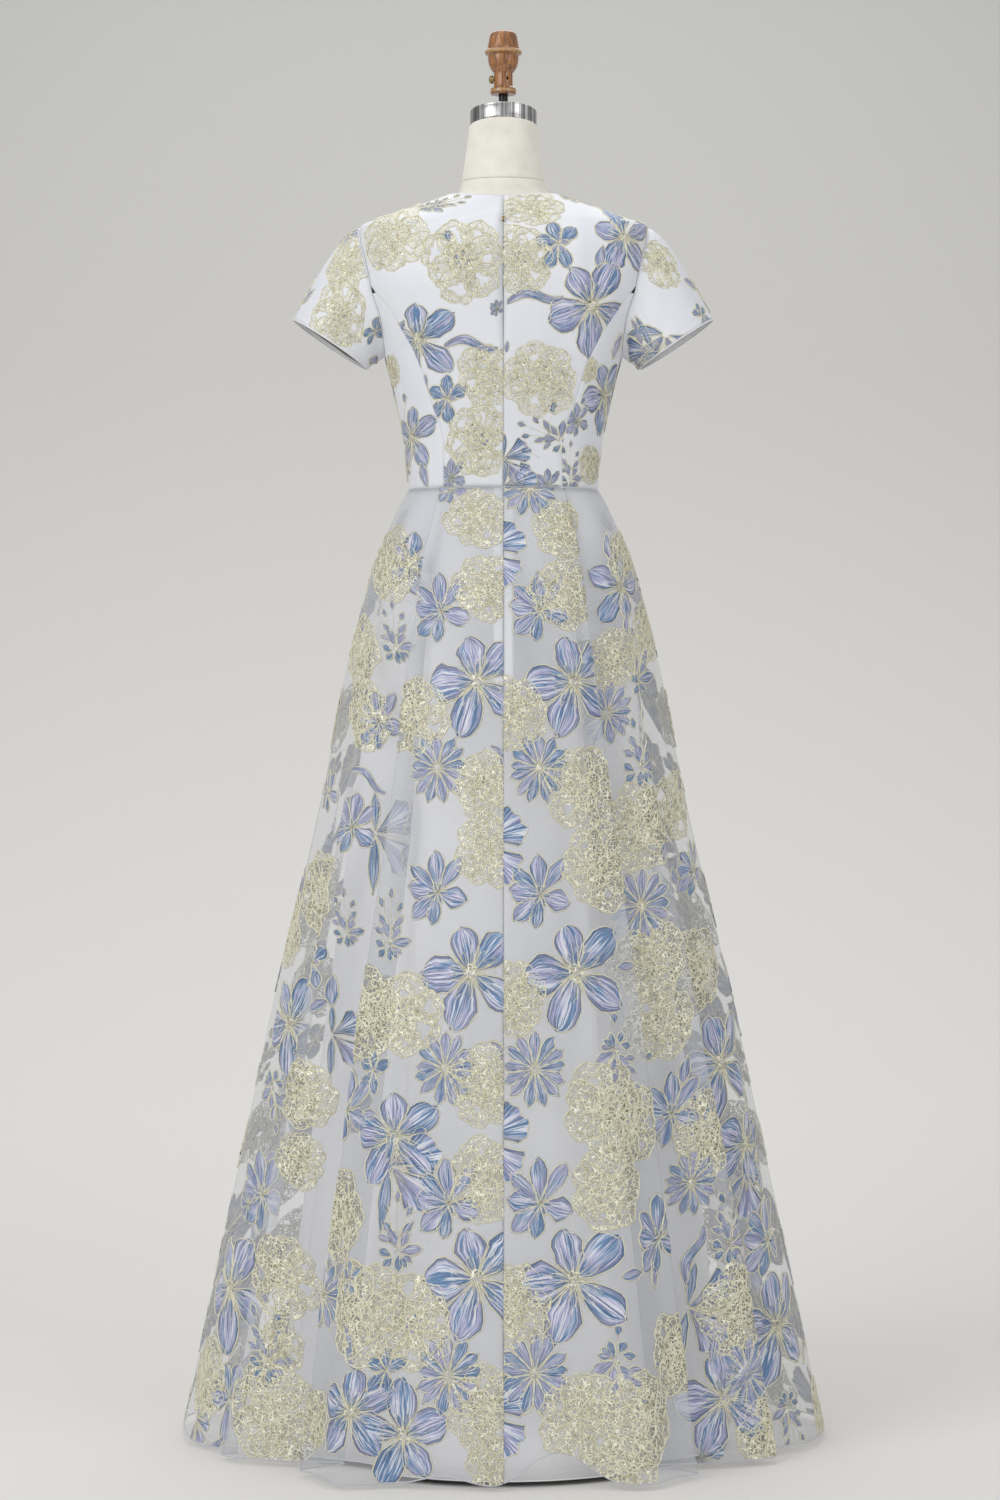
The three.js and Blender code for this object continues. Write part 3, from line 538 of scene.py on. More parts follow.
def smoothstep(value: Array, low: float, high: float) -> Array:
    """Rise smoothly from 0 at low to 1 at high."""
    t = np.clip((value - low) / (high - low), 0.0, 1.0)
    return t * t * (3 - 2 * t)


def bump_of(offset: Array) -> Array:
    """A round bump: 1 where the offset is 0, and 0 from 1 on either side."""
    return np.where(np.abs(offset) < 1, 0.5 * (1 + np.cos(np.pi * np.clip(offset, -1, 1))), 0.0)


def signed_power(value: Array, power: Array | float) -> Array:
    """Raise the size of a value and keep its sign."""
    return np.sign(value) * np.abs(value) ** power


@dataclass(frozen=True)
class Fold:
    """A pleat or flute that grows downward from its start."""

    angle: float
    width: float
    share: float
    lean: float
    start: float


@dataclass(frozen=True)
class Crease:
    """A soft trough, or a ridge where its depth is below 0, over a stretch of the cloth."""

    angle: float
    low: float
    high: float
    depth: float
    width: float
    drift: float = 0.0


def table(kind: type, rows: Iterable[tuple[float, ...]]) -> tuple:
    """Folds or creases, one from each row of their values."""
    return tuple(kind(*row) for row in rows)


PLEAT_HEIGHTS = (6, 500, 700, 870, 960, 1030, 1094, 1131, 1141)
PLEAT_DEPTH = Curve(PLEAT_HEIGHTS, (66, 50, 40, 28, 20, 15, 11, 5.5, 1.5))
PLEAT_LEAN = Curve((6, 1094, 1131, 1141), (1, 1, 0.9, 0.45))
FOLD_GROWTH = 450.0


@dataclass
class Surface:
    """An outer face by angle and height: rounded sections with folds and creases pressed in."""

    half: Curve
    back: Curve
    front: Curve
    power: Curve
    folds: tuple[Fold, ...] = ()
    creases: tuple[Crease, ...] = ()
    low: float = HEM
    high: float = WAIST
    angle_step: float = 0.25
    _arcs: Array | None = field(default=None, repr=False)

    def section(self, degrees: Array, z: Array) -> Array:
        """Points of the plain sections.

        Args:
            degrees: Angles.
            z: Heights.

        Returns:
            Points, one for each angle and height.
        """
        side, rear = np.sin(np.radians(degrees)), np.cos(np.radians(degrees))
        power = 2 / self.power.at(z)
        depth = np.where(rear >= 0, self.back.at(z), self.front.at(z))
        return np.stack(
            [self.half.at(z) * signed_power(side, power), -depth * signed_power(rear, power), z + 0 * side],
            axis=-1,
        )

    def points(self, degrees: Array, z: Array) -> Array:
        """Points of the face with its folds.

        Args:
            degrees: Angles.
            z: Heights.

        Returns:
            Points, one for each angle and height.
        """
        degrees, z = np.broadcast_arrays(np.asarray(degrees, float), np.asarray(z, float))
        turned, depth = degrees.copy(), np.zeros_like(degrees)
        for fold in self.folds:
            grown = bump_of((degrees - fold.angle) / fold.width)
            grown = grown * smoothstep(fold.start - z, 0, FOLD_GROWTH)
            inward = -np.sign(fold.angle) if abs(fold.angle) < 90 else np.sign(fold.angle)
            depth += grown * fold.share * PLEAT_DEPTH.at(z)
            turned += grown * inward * fold.lean * fold.width * PLEAT_LEAN.at(z)
        for crease in self.creases:
            along = (z - crease.low) / (crease.high - crease.low)
            middle = crease.angle + crease.drift * (along - 0.5)
            depth += crease.depth * bump_of((degrees - middle) / crease.width) * bump_of(2 * along - 1)
        point = self.section(turned, z)
        radius = np.hypot(point[..., 0], point[..., 1])
        point[..., :2] *= ((radius - depth) / radius)[..., None]
        return point

    def normals(self, degrees: Array, z: Array) -> Array:
        """Outward directions of the face.

        Args:
            degrees: Angles.
            z: Heights.

        Returns:
            Unit directions, one for each angle and height.
        """
        across = self.points(degrees + 0.3, z) - self.points(degrees - 0.3, z)
        up = self.points(degrees, z + 1) - self.points(degrees, z - 1)
        out = np.cross(across, up)
        return out / np.linalg.norm(out, axis=-1, keepdims=True)

    def off(self, degrees: Array, z: Array, out: Array | float) -> Array:
        """Points moved out from the face by a distance, or in where it is below 0."""
        return self.points(degrees, z) + np.asarray(out)[..., None] * self.normals(degrees, z)

    def angle_of_x(self, x: Array, z: Array) -> Array:
        """The angle at which a plain section has the given x."""
        share = np.minimum(1.0, x / self.half.at(z))
        return np.degrees(np.arcsin(share ** (self.power.at(z) / 2)))

    def arcs(self) -> Array:
        """Arc lengths from the centre back, by rows of height and columns of angle.

        Returns:
            The table of lengths in millimetres.
        """
        if self._arcs is None:
            angles = np.arange(-180, 180.01, self.angle_step)
            heights = np.linspace(self.low, self.high, 60)
            grid = self.points(angles[None], heights[:, None])
            arcs = running(grid, 1)
            self._arcs = arcs - arcs[:, [len(angles) // 2]]
        return self._arcs

    def cell(self, column: Array, z: Array) -> Array:
        """The arc length at a column of the table and at a height between its rows.

        Args:
            column: Columns of the table.
            z: Heights.

        Returns:
            The arc lengths there.
        """
        arcs = self.arcs()
        row = np.clip((z - self.low) / (self.high - self.low), 0, 1) * (len(arcs) - 1)
        lower = np.minimum(row.astype(int), len(arcs) - 2)
        return arcs[lower, column] + (row - lower) * (arcs[lower + 1, column] - arcs[lower, column])

    def arc_at(self, degrees: Array, z: Array) -> Array:
        """The arc length from the centre back at each angle and height.

        Args:
            degrees: Angles round the body.
            z: Heights.

        Returns:
            The arc lengths in millimetres.
        """
        last = self.arcs().shape[1] - 1
        place = np.clip((np.asarray(degrees, float) + 180) / self.angle_step, 0, last)
        column = np.minimum(place.astype(int), last - 1)
        here = self.cell(column, z)
        return here + (place - column) * (self.cell(column + 1, z) - here)

    def arc_of(self, degrees: float, z: float) -> float:
        """The arc length from the centre back to an angle at one height."""
        return float(self.arc_at(np.array([degrees]), np.array([z]))[0])

    def angle_at(self, arc: Array, z: Array) -> Array:
        """The angle at each arc length and height, found by halving.

        Args:
            arc: Arc lengths from the centre back.
            z: Heights.

        Returns:
            The angles in degrees.
        """
        arc, z = np.asarray(arc, float), np.asarray(z, float)
        left = np.zeros(len(arc), int)
        right = np.full(len(arc), self.arcs().shape[1] - 1)
        while (right - left).max() > 1:
            middle = (left + right) // 2
            short = self.cell(middle, z) < arc
            left, right = np.where(short, middle, left), np.where(short, right, middle)
        here = self.cell(left, z)
        share = np.clip((arc - here) / np.maximum(self.cell(right, z) - here, 1e-9), 0, 1)
        return -180 + self.angle_step * (left + share)

    def lay(self, degrees: float, z: float, flat: Array) -> Places:
        """Lay flat points on the face round a place, without stretching them.

        Args:
            degrees: The place's angle.
            z: The place's height.
            flat: Points across and up from the place.

        Returns:
            The angles and the heights where they come to lie.
        """
        step = self.points(degrees, z + 5) - self.points(degrees, z - 5)
        heights = z + flat[:, 1] * 10 / float(np.linalg.norm(step))
        heights = np.clip(heights, self.low, self.high)
        return self.angle_at(self.arc_of(degrees, z) + flat[:, 0], heights), heights


BODY_HEIGHTS = (1141, 1167, 1204, 1241, 1277, 1305, 1340, 1386, 1420, 1445, 1462, 1475, 1486, 1495, 1504)
BODICE = Surface(
    half=Curve(BODY_HEIGHTS, (115, 117, 121, 128, 136.5, 144, 155, 170, 174, 176, 175, 141, 111, 86, 62)),
    back=Curve(BODY_HEIGHTS, (81, 83, 86, 90, 93, 95, 97, 98, 95, 88, 79, 71, 63, 57, 51)),
    front=Curve(BODY_HEIGHTS, (95, 101, 114, 128, 136, 133, 119, 104, 93, 84, 76, 68, 62, 57, 53)),
    power=Curve(BODY_HEIGHTS, (2.3, 2.3, 2.35, 2.4, 2.5, 2.6, 2.8, 3.0, 2.9, 2.7, 2.5, 2.3, 2.2, 2.1, 2.0)),
    # Angle, low, high, depth, width and drift
    creases=table(Crease, (
        (14, 1146, 1200, 1.4, 8, -6), (-20, 1144, 1190, 1.2, 9, 7), (38, 1150, 1215, 1.1, 10, -9),
        (-44, 1152, 1230, 1.3, 9, 10), (68, 1230, 1330, 1.6, 9, 16), (-66, 1225, 1330, 1.4, 9, -16),
        (22, 1380, 1455, -1.2, 12, 8), (-26, 1370, 1450, -1.0, 12, -9), (160, 1160, 1240, 1.3, 8, -8),
        (-163, 1155, 1235, 1.2, 8, 8), (121, 1270, 1350, 1.6, 9, 12), (-118, 1265, 1345, 1.5, 9, -12),
    )),
    low=WAIST,
    high=NECK_POINT,
)
SKIRT_HEIGHTS = (6, 70, 180, 289, 399, 509, 619, 728, 838, 911, 984, 1058, 1094, 1131, 1141)
SKIRT = Surface(
    half=Curve(
        SKIRT_HEIGHTS, (389, 375, 352, 329, 305.5, 283, 257, 231, 208, 194.5, 176, 155.5, 140, 122.5, 116)
    ),
    back=Curve(SKIRT_HEIGHTS, (394, 380, 355, 331, 308, 284, 258, 230, 204, 187, 165, 134, 114, 90, 82)),
    front=Curve(SKIRT_HEIGHTS, (390, 377, 354, 330, 307, 283, 257, 230, 205, 189, 168, 141, 124, 104, 96)),
    power=Curve((6, 984, 1058, 1094, 1131, 1141), (2.0, 2.0, 2.1, 2.15, 2.25, 2.3)),
    # Angle, width, share, lean and start
    folds=table(Fold, (
        (-46, 10, 1.0, 1.1, 2000), (44, 10, 1.0, 1.1, 2000), (-65, 8, 0.35, 0.8, 1130),
        (62, 8, 0.6, 0.9, 1130), (-26, 9, -0.5, 0, 620), (23, 9, -0.4, 0, 620),
        (-103, 11, 0.45, 0.6, 1000), (104, 11, 0.5, 0.6, 1000), (-134, 10, 1.0, 1.1, 2000),
        (135, 10, 1.0, 1.1, 2000), (-157, 9, -0.4, 0, 620), (155, 9, -0.45, 0, 620),
    )),
    # Angle, low, high, depth, width and drift
    creases=table(Crease, (
        (5, 20, 560, 2.5, 4, 1), (-7, 60, 760, 2.0, 5, -2), (15, 300, 1080, 2.2, 5, 4),
        (-16, 380, 1110, 2.4, 5, -5), (31, 560, 1120, 2.6, 4, 3), (-33, 480, 1115, 2.8, 4, -3),
        (54, 10, 500, -3.5, 5, 2), (-56, 10, 620, -3.0, 5, -2), (75, 20, 700, 4.0, 5, 3),
        (-77, 20, 760, 4.5, 6, -3), (85, 400, 1080, 2.2, 5, 2), (-87, 350, 1070, 2.0, 5, -2),
        (118, 20, 640, -3.5, 6, 2), (-119, 20, 560, -3.0, 6, -2), (170, 40, 700, 2.6, 5, 2),
        (-171, 60, 780, 2.4, 5, -2), (145, 420, 1110, 2.2, 5, 3), (-146, 380, 1105, 2.4, 5, -3),
    )),
)
LINING_HEIGHTS = (6, 100, 300, 500, 700, 870, 960, 1030, 1094, 1125, 1141)
LINING = Surface(
    half=Curve(LINING_HEIGHTS, (280, 266, 242, 217, 190, 167, 156, 143, 123, 113.5, 112.9)),
    back=Curve(LINING_HEIGHTS, (368, 345, 295, 240, 188, 156, 139, 120, 95, 80, 75.5)),
    front=Curve(LINING_HEIGHTS, (350, 330, 285, 235, 190, 159, 144, 129, 107, 94, 92.9)),
    power=Curve((6, 700, 870, 960, 1030, 1094, 1141), (2.0, 2.0, 2.1, 2.2, 2.25, 2.3, 2.3)),
    # Angle, width, share, lean and start
    folds=table(Fold, (
        (-42, 15, 0.5, 0.3, 950), (42, 15, 0.5, 0.3, 950), (-80, 14, 0.3, 0, 700),
        (84, 14, 0.3, 0, 700), (-138, 15, 0.5, 0.3, 950), (138, 15, 0.5, 0.3, 950),
    )),
    # Angle, low, high, depth, width and drift
    creases=table(Crease, (
        (8, 20, 700, 3.0, 7, 3), (-12, 40, 820, 3.5, 8, -3), (24, 200, 960, 3.0, 7, 5),
        (-27, 60, 900, 3.5, 7, -4), (63, 20, 760, 4.0, 9, 3), (-61, 30, 700, 3.5, 9, -3),
        (112, 20, 700, 4.0, 9, 3), (-114, 20, 650, 4.0, 9, -3), (168, 20, 800, 3.5, 9, 3),
        (-166, 20, 760, 3.5, 9, -3),
    )),
)


PRINCESS = Curve((1141, 1193, 1244, 1298, 1316, 1336, 1357, 1376), (71, 71.5, 86, 104, 113, 125, 139, 153))
ARMHOLE_HEIGHTS = (1305, 1311, 1322, 1339, 1357, 1386, 1415, 1443, 1455, 1462)
ARMHOLE_BACK = Curve(ARMHOLE_HEIGHTS, (90, 82, 75, 69, 66, 66, 70, 78, 84, 90))
ARMHOLE_FRONT = Curve(ARMHOLE_HEIGHTS, (90, 98, 105, 110, 113, 114, 111, 103, 97, 90))
NECK_BACK = Curve((0, 45, 90), (1494, 1499, 1504))
NECK_FRONT = Curve(
    (0, 5, 10, 15, 21, 30, 46, 65, 90), (1431, 1435, 1447, 1464, 1477, 1487, 1496, 1501, 1504)
)


def bodice_height(level: Array, neck: Array) -> Array:
    """The height of a bodice level, whose rows above the yoke spread to reach the neckline."""
    spread = YOKE + (level - YOKE) * (neck - YOKE) / (NECK_POINT - YOKE)
    return np.where(level <= YOKE, level, spread)


def bodice_level(z: Array, neck: Array) -> Array:
    """The bodice level at a height, which undoes bodice_height."""
    level = YOKE + (z - YOKE) * (NECK_POINT - YOKE) / (neck - YOKE)
    return np.where(z <= YOKE, z, level)


def armhole(curve: Curve, level: Array) -> Array:
    """The angle of the bodice's side edge: the side seam, the armhole or the shoulder seam."""
    inside = (level > UNDERARM) & (level < SHOULDER_TIP)
    return np.where(inside, curve.at(level), 90.0)


def back_edge(level: Array) -> Array:
    """The angle where the back panel ends: the princess seam, then the armhole and shoulder.

    Args:
        level: Heights on the body.

    Returns:
        The angle at each height, in degrees.
    """
    princess = BODICE.angle_of_x(PRINCESS.at(level), np.minimum(level, PANEL_TIP))
    above = armhole(ARMHOLE_BACK, level)
    return princess + (above - princess) * np.clip((level - PANEL_TIP) / (YOKE - PANEL_TIP), 0, 1)


# Meshes


def link(name: str, data: ID) -> Object:
    """An object that holds the data, linked to the scene.

    Args:
        name: The object's name.
        data: Its mesh or curve data.

    Returns:
        The new object.
    """
    made = bpy.data.objects.new(name, data)
    bpy.context.scene.collection.objects.link(made)
    return made


@dataclass
class Bag:
    """Vertices, faces and their maps, gathered for one piece."""

    points: list[Array] = field(default_factory=list)
    maps: list[Array] = field(default_factory=list)
    tints: list[Array] = field(default_factory=list)
    faces: list[Array] = field(default_factory=list)
    slots: list[Array] = field(default_factory=list)
    count: int = 0

    def add(
        self, points: Array, faces: Array, map_of: Array | None = None, slot: int = 0,
        tint: float = 0.0,
    ) -> None:
        """Add a part.

        Args:
            points: Its vertices in millimetres.
            faces: Its faces, four numbers each; a triangle repeats its last one.
            map_of: A place on the piece's map for each vertex.
            slot: The number of its material.
            tint: The share of the second yarn in it.
        """
        points = np.asarray(points, float).reshape(-1, 3)
        self.points.append(points)
        self.maps.append(np.zeros((len(points), 2)) if map_of is None else map_of.reshape(-1, 2))
        self.tints.append(np.full(len(points), tint))
        self.faces.append(np.asarray(faces, int).reshape(-1, 4) + self.count)
        self.slots.append(np.full(len(self.faces[-1]), slot))
        self.count += len(points)

    def piece(self, name: str, materials: Sequence[Material], map_name: str = "Cloth") -> Object:
        """Make the object, smooth all over, with its place in its mesh.

        Args:
            name: The object's name.
            materials: Its materials, in the order of the slots.
            map_name: The name of its map.

        Returns:
            The object, linked to the scene.
        """
        points = np.concatenate(self.points) * MM
        faces, slots = np.concatenate(self.faces), np.concatenate(self.slots)
        loops = [list(dict.fromkeys(face)) for face in faces.tolist()]
        kept = [i for i, loop in enumerate(loops) if len(loop) > 2]
        mesh = bpy.data.meshes.new(name)
        mesh.from_pydata(points.tolist(), [], [loops[i] for i in kept])
        for material in materials:
            mesh.materials.append(material)
        mesh.polygons.foreach_set("material_index", slots[kept].astype(np.int32))
        mesh.polygons.foreach_set("use_smooth", np.ones(len(kept), bool))
        vertex_of = np.zeros(len(mesh.loops), np.int32)
        mesh.loops.foreach_get("vertex_index", vertex_of)
        layer = mesh.uv_layers.new(name=map_name)
        layer.data.foreach_set("uv", np.concatenate(self.maps)[vertex_of].astype(np.float32).ravel())
        tint = mesh.attributes.new("tint", "FLOAT", "POINT")
        tint.data.foreach_set("value", np.concatenate(self.tints).astype(np.float32))
        mesh.update()
        return link(name, mesh)


def grid_faces(rows: int, columns: int, closed: bool = False, flipped: bool = False) -> Array:
    """Faces of a grid of points.

    Args:
        rows: How many rows of points it has.
        columns: How many points a row has.
        closed: Whether a row's last point meets its first.
        flipped: Whether the faces turn the other way.

    Returns:
        Four point numbers for each face.
    """
    row, column = np.meshgrid(
        np.arange(rows - 1), np.arange(columns if closed else columns - 1), indexing="ij"
    )
    here, after = row * columns + column, row * columns + (column + 1) % columns
    faces = np.stack([here, after, after + columns, here + columns], axis=-1).reshape(-1, 4)
    return faces[:, ::-1] if flipped else faces


def shell(bag: Bag, outer: Array, inner: Array, map_of: Array, closed: bool = False) -> None:
    """Add a thin wall between two grids.

    Args:
        bag: What takes it.
        outer: The outer grid, rows by columns of points.
        inner: The inner grid.
        map_of: The cloth's map, rows by columns of places.
        closed: Whether a row's last point meets its first.
    """
    rows, columns = outer.shape[:2]
    size = rows * columns
    number = np.arange(size).reshape(rows, columns)
    faces = [grid_faces(rows, columns, closed), grid_faces(rows, columns, closed, flipped=True) + size]
    rims = [(number[0], True), (number[-1], False)]
    if not closed:
        rims += [(number[:, 0], False), (number[:, -1], True)]
    for rim, flipped in rims:
        first, second = rim, np.roll(rim, -1)
        if not (closed and len(rim) == columns):
            first, second = rim[:-1], rim[1:]
        face = np.stack([first, second, second + size, first + size], axis=-1)
        faces.append(face[:, ::-1] if flipped else face)
    bag.add(
        np.concatenate([outer.reshape(-1, 3), inner.reshape(-1, 3)]), np.concatenate(faces),
        np.concatenate([map_of.reshape(-1, 2)] * 2),
    )


def capped(rings: Array, bag: Bag | None = None) -> Bag:
    """A closed solid of rings of points, with a fan of faces over each end, put in a bag.

    Args:
        rings: Rings of points from one end to the other.
        bag: The bag for it, or none for a new one.

    Returns:
        The bag with the solid in it.
    """
    bag = bag or Bag()
    rows, columns = rings.shape[:2]
    points = np.vstack([rings.reshape(-1, 3), rings[0].mean(axis=0), rings[-1].mean(axis=0)])
    ring, top = np.arange(columns), np.arange(columns) + (rows - 1) * columns
    ends = ((np.roll(ring, -1), ring), (top, np.roll(top, -1)))
    centres = [np.full(columns, rows * columns + i) for i in (0, 1)]
    fans = [np.stack([*pair, centre, centre], axis=-1) for pair, centre in zip(ends, centres)]
    bag.add(points, np.concatenate([grid_faces(rows, columns, closed=True), *fans]))
    return bag


def subtract(piece: Object, tool: Object) -> None:
    """Cut a tool's form out of a piece, and take the tool away.

    Args:
        piece: The piece that is cut.
        tool: The form to take out of it.
    """
    cut = piece.modifiers.new("cut", "BOOLEAN")
    cut.operation, cut.solver, cut.object = "DIFFERENCE", "EXACT", tool
    graph = bpy.context.evaluated_depsgraph_get()
    mesh = bpy.data.meshes.new_from_object(piece.evaluated_get(graph))
    piece.modifiers.remove(cut)
    piece.data = mesh
    bpy.data.objects.remove(tool)


def stand_along(piece: Object, middle: Vector, direction: Vector) -> None:
    """Turn a piece's own Z axis into a direction and move its middle to a place in millimetres.

    Args:
        piece: The piece to turn.
        middle: Its middle's place.
        direction: Where its own Z axis goes.
    """
    turned = direction.to_track_quat("Z", "Y").to_matrix().to_4x4()
    turned.translation = middle * MM
    piece.data.transform(turned)


def lathe(profile: Sequence[tuple[float, float]], steps: int, y: float = 0.0) -> Bag:
    """Turn a profile about an upright axis and close its ends.

    Args:
        profile: Radius and height, from the bottom up.
        steps: How many points go round.
        y: Where the axis stands.

    Returns:
        A bag that holds the turned solid.
    """
    turn = np.linspace(0, 2 * np.pi, steps, endpoint=False)
    radius, height = (column[:, None] for column in np.array(profile).T)
    return capped(np.stack([radius * np.sin(turn), y - radius * np.cos(turn), height + 0 * turn], axis=-1))


def rounded(profile: Sequence[tuple[float, float]], per_span: int = 6) -> list[tuple[float, float]]:
    """Pass a smooth curve through a profile's points.

    Args:
        profile: Radius and height.
        per_span: How many steps each span takes.

    Returns:
        More points, with the same ends.
    """
    points = np.array(profile, float)
    ahead = np.vstack([points[:1], points, points[-1:]])
    made = []
    for i in range(len(points) - 1):
        a, b, c, d = ahead[i : i + 4]
        for t in np.linspace(0, 1, per_span, endpoint=False):
            made.append(b + 0.5 * t * (c - a + t * (2 * a - 5 * b + 4 * c - d + t * (3 * (b - c) + d - a))))
    return [tuple(p) for p in (*made, points[-1])]


# Cloth pieces


@dataclass
class Panel:
    """One panel of the bodice or skirt: rows and columns of places on its surface."""

    surface: Surface
    places: Places
    wall: float
    seam_dip: float = SEAM_DIP

    def build(self, name: str, material: Material) -> Object:
        """Make the panel as a thin shell on its surface, drawn in a little along its seams.

        Args:
            name: Its name.
            material: Its cloth.

        Returns:
            The panel.
        """
        points = self.surface.points(*self.places)
        arc = running(points, 1)
        dip = self.seam_dip * sunk(np.minimum(arc, arc[:, -1:] - arc))
        outer, inner = (self.surface.off(*self.places, -dip - wall) for wall in (0.0, self.wall))
        bag = Bag()
        shell(bag, outer, inner, np.stack([arc, running(points, 0)], axis=-1) * MM)
        return bag.piece(name, [material])


def even(low: float, high: float, step: float) -> Array:
    """Values from low to high, or down to it, evenly spaced by about a step."""
    return np.linspace(low, high, max(2, int(round(abs(high - low) / step)) + 1))


def bodice_levels(top: float = NECK_POINT) -> Array:
    """The levels of the bodice's rows, closer where the armhole and the shoulder turn.

    Args:
        top: The highest level.

    Returns:
        The levels, from the waist up.
    """
    levels = np.concatenate(
        [
            even(WAIST, UNDERARM, 6),
            even(UNDERARM, PANEL_TIP, 3.4)[1:],
            even(PANEL_TIP, YOKE, 3.4)[1:],
            even(YOKE, 1443, 4)[1:],
            even(1443, SHOULDER_TIP, 2)[1:],
            even(SHOULDER_TIP, NECK_POINT, 3)[1:],
        ]
    )
    return levels[levels <= top]


def mirror_places(places: Places) -> Places:
    """The same places on the other side of the body."""
    degrees, z = places
    return -degrees[:, ::-1], z[:, ::-1]


def trimmed(places: Places, surface: Surface) -> Places:
    """Move a panel's side edges in by half the seam gap.

    Args:
        places: The panel's angles and levels.
        surface: The face that it lies on.

    Returns:
        The places with their side edges moved in.
    """
    degrees, z = (p.copy() for p in places)
    for edge, inside in ((0, 1), (-1, -2)):
        ends = surface.points(degrees[:, edge], z[:, edge])
        near = surface.points(degrees[:, inside], z[:, inside])
        share = SEAM_GAP / 2 / np.maximum(np.linalg.norm(near - ends, axis=-1), 0.1)
        degrees[:, edge] += share * (degrees[:, inside] - degrees[:, edge])
    return degrees, z


def back_places() -> Places:
    """The right back panel, from the centre seam to the princess seam, armhole and shoulder.

    Returns:
        The panel's angles and levels.
    """
    level = bodice_levels()[:, None]
    share = np.linspace(0, 1, 45)[None]
    return share * back_edge(level), bodice_height(level, NECK_BACK.at(share * 90))


def side_back_places() -> Places:
    """The right side of the back, from the princess seam to the side seam and the armhole.

    Returns:
        The panel's angles and levels.
    """
    level = bodice_levels(PANEL_TIP)[:, None]
    share = np.linspace(0, 1, 25)[None]
    start, end = back_edge(level), armhole(ARMHOLE_BACK, level)
    return start + share * (end - start), level + 0 * share


def front_places() -> Places:
    """The whole front, from the right side seam round to the left one.

    Returns:
        The panel's angles and levels.
    """
    level = bodice_levels()[:, None]
    share = signed_power(np.linspace(1, -1, 85), 1.35)[None]
    neck = NECK_FRONT.at(90 * np.abs(share))
    return 180 - share * (180 - armhole(ARMHOLE_FRONT, level)), bodice_height(level, neck)


def hem_height(degrees: Array) -> Array:
    """The height of the organza hem, which arches up twice at the back and waves a little."""
    height = HEM + 34 * bump_of((degrees - 9) / 11) + 9 * bump_of((degrees + 10) / 8)
    return height + 1.6 * (1 + np.sin(np.radians(degrees * 7))) * np.abs(np.sin(np.radians(degrees)))


def skirt_places(
    surface: Surface, start: float, end: float, rows: int, hem: Callable[[Array], Array]
) -> Places:
    """A panel of a skirt, with its columns evenly apart along the hem.

    Args:
        surface: The skirt's face.
        start: The angle of its first seam.
        end: The angle of its last seam.
        rows: How many rows it has between the waist and the hem.
        hem: The hem's height at each angle.

    Returns:
        Angles and heights, by rows and columns.
    """
    arc = [surface.arc_of(angle, HEM + 20) for angle in (start, end)]
    along = even(arc[0], arc[1], 5.0)
    degrees = surface.angle_at(along, np.full(len(along), HEM + 20))
    degrees[0], degrees[-1] = start, end
    share = (1 - np.arange(rows + 1) / rows)[:, None] ** 1.25
    return degrees[None] + 0 * share, WAIST + (hem(degrees)[None] - WAIST) * share


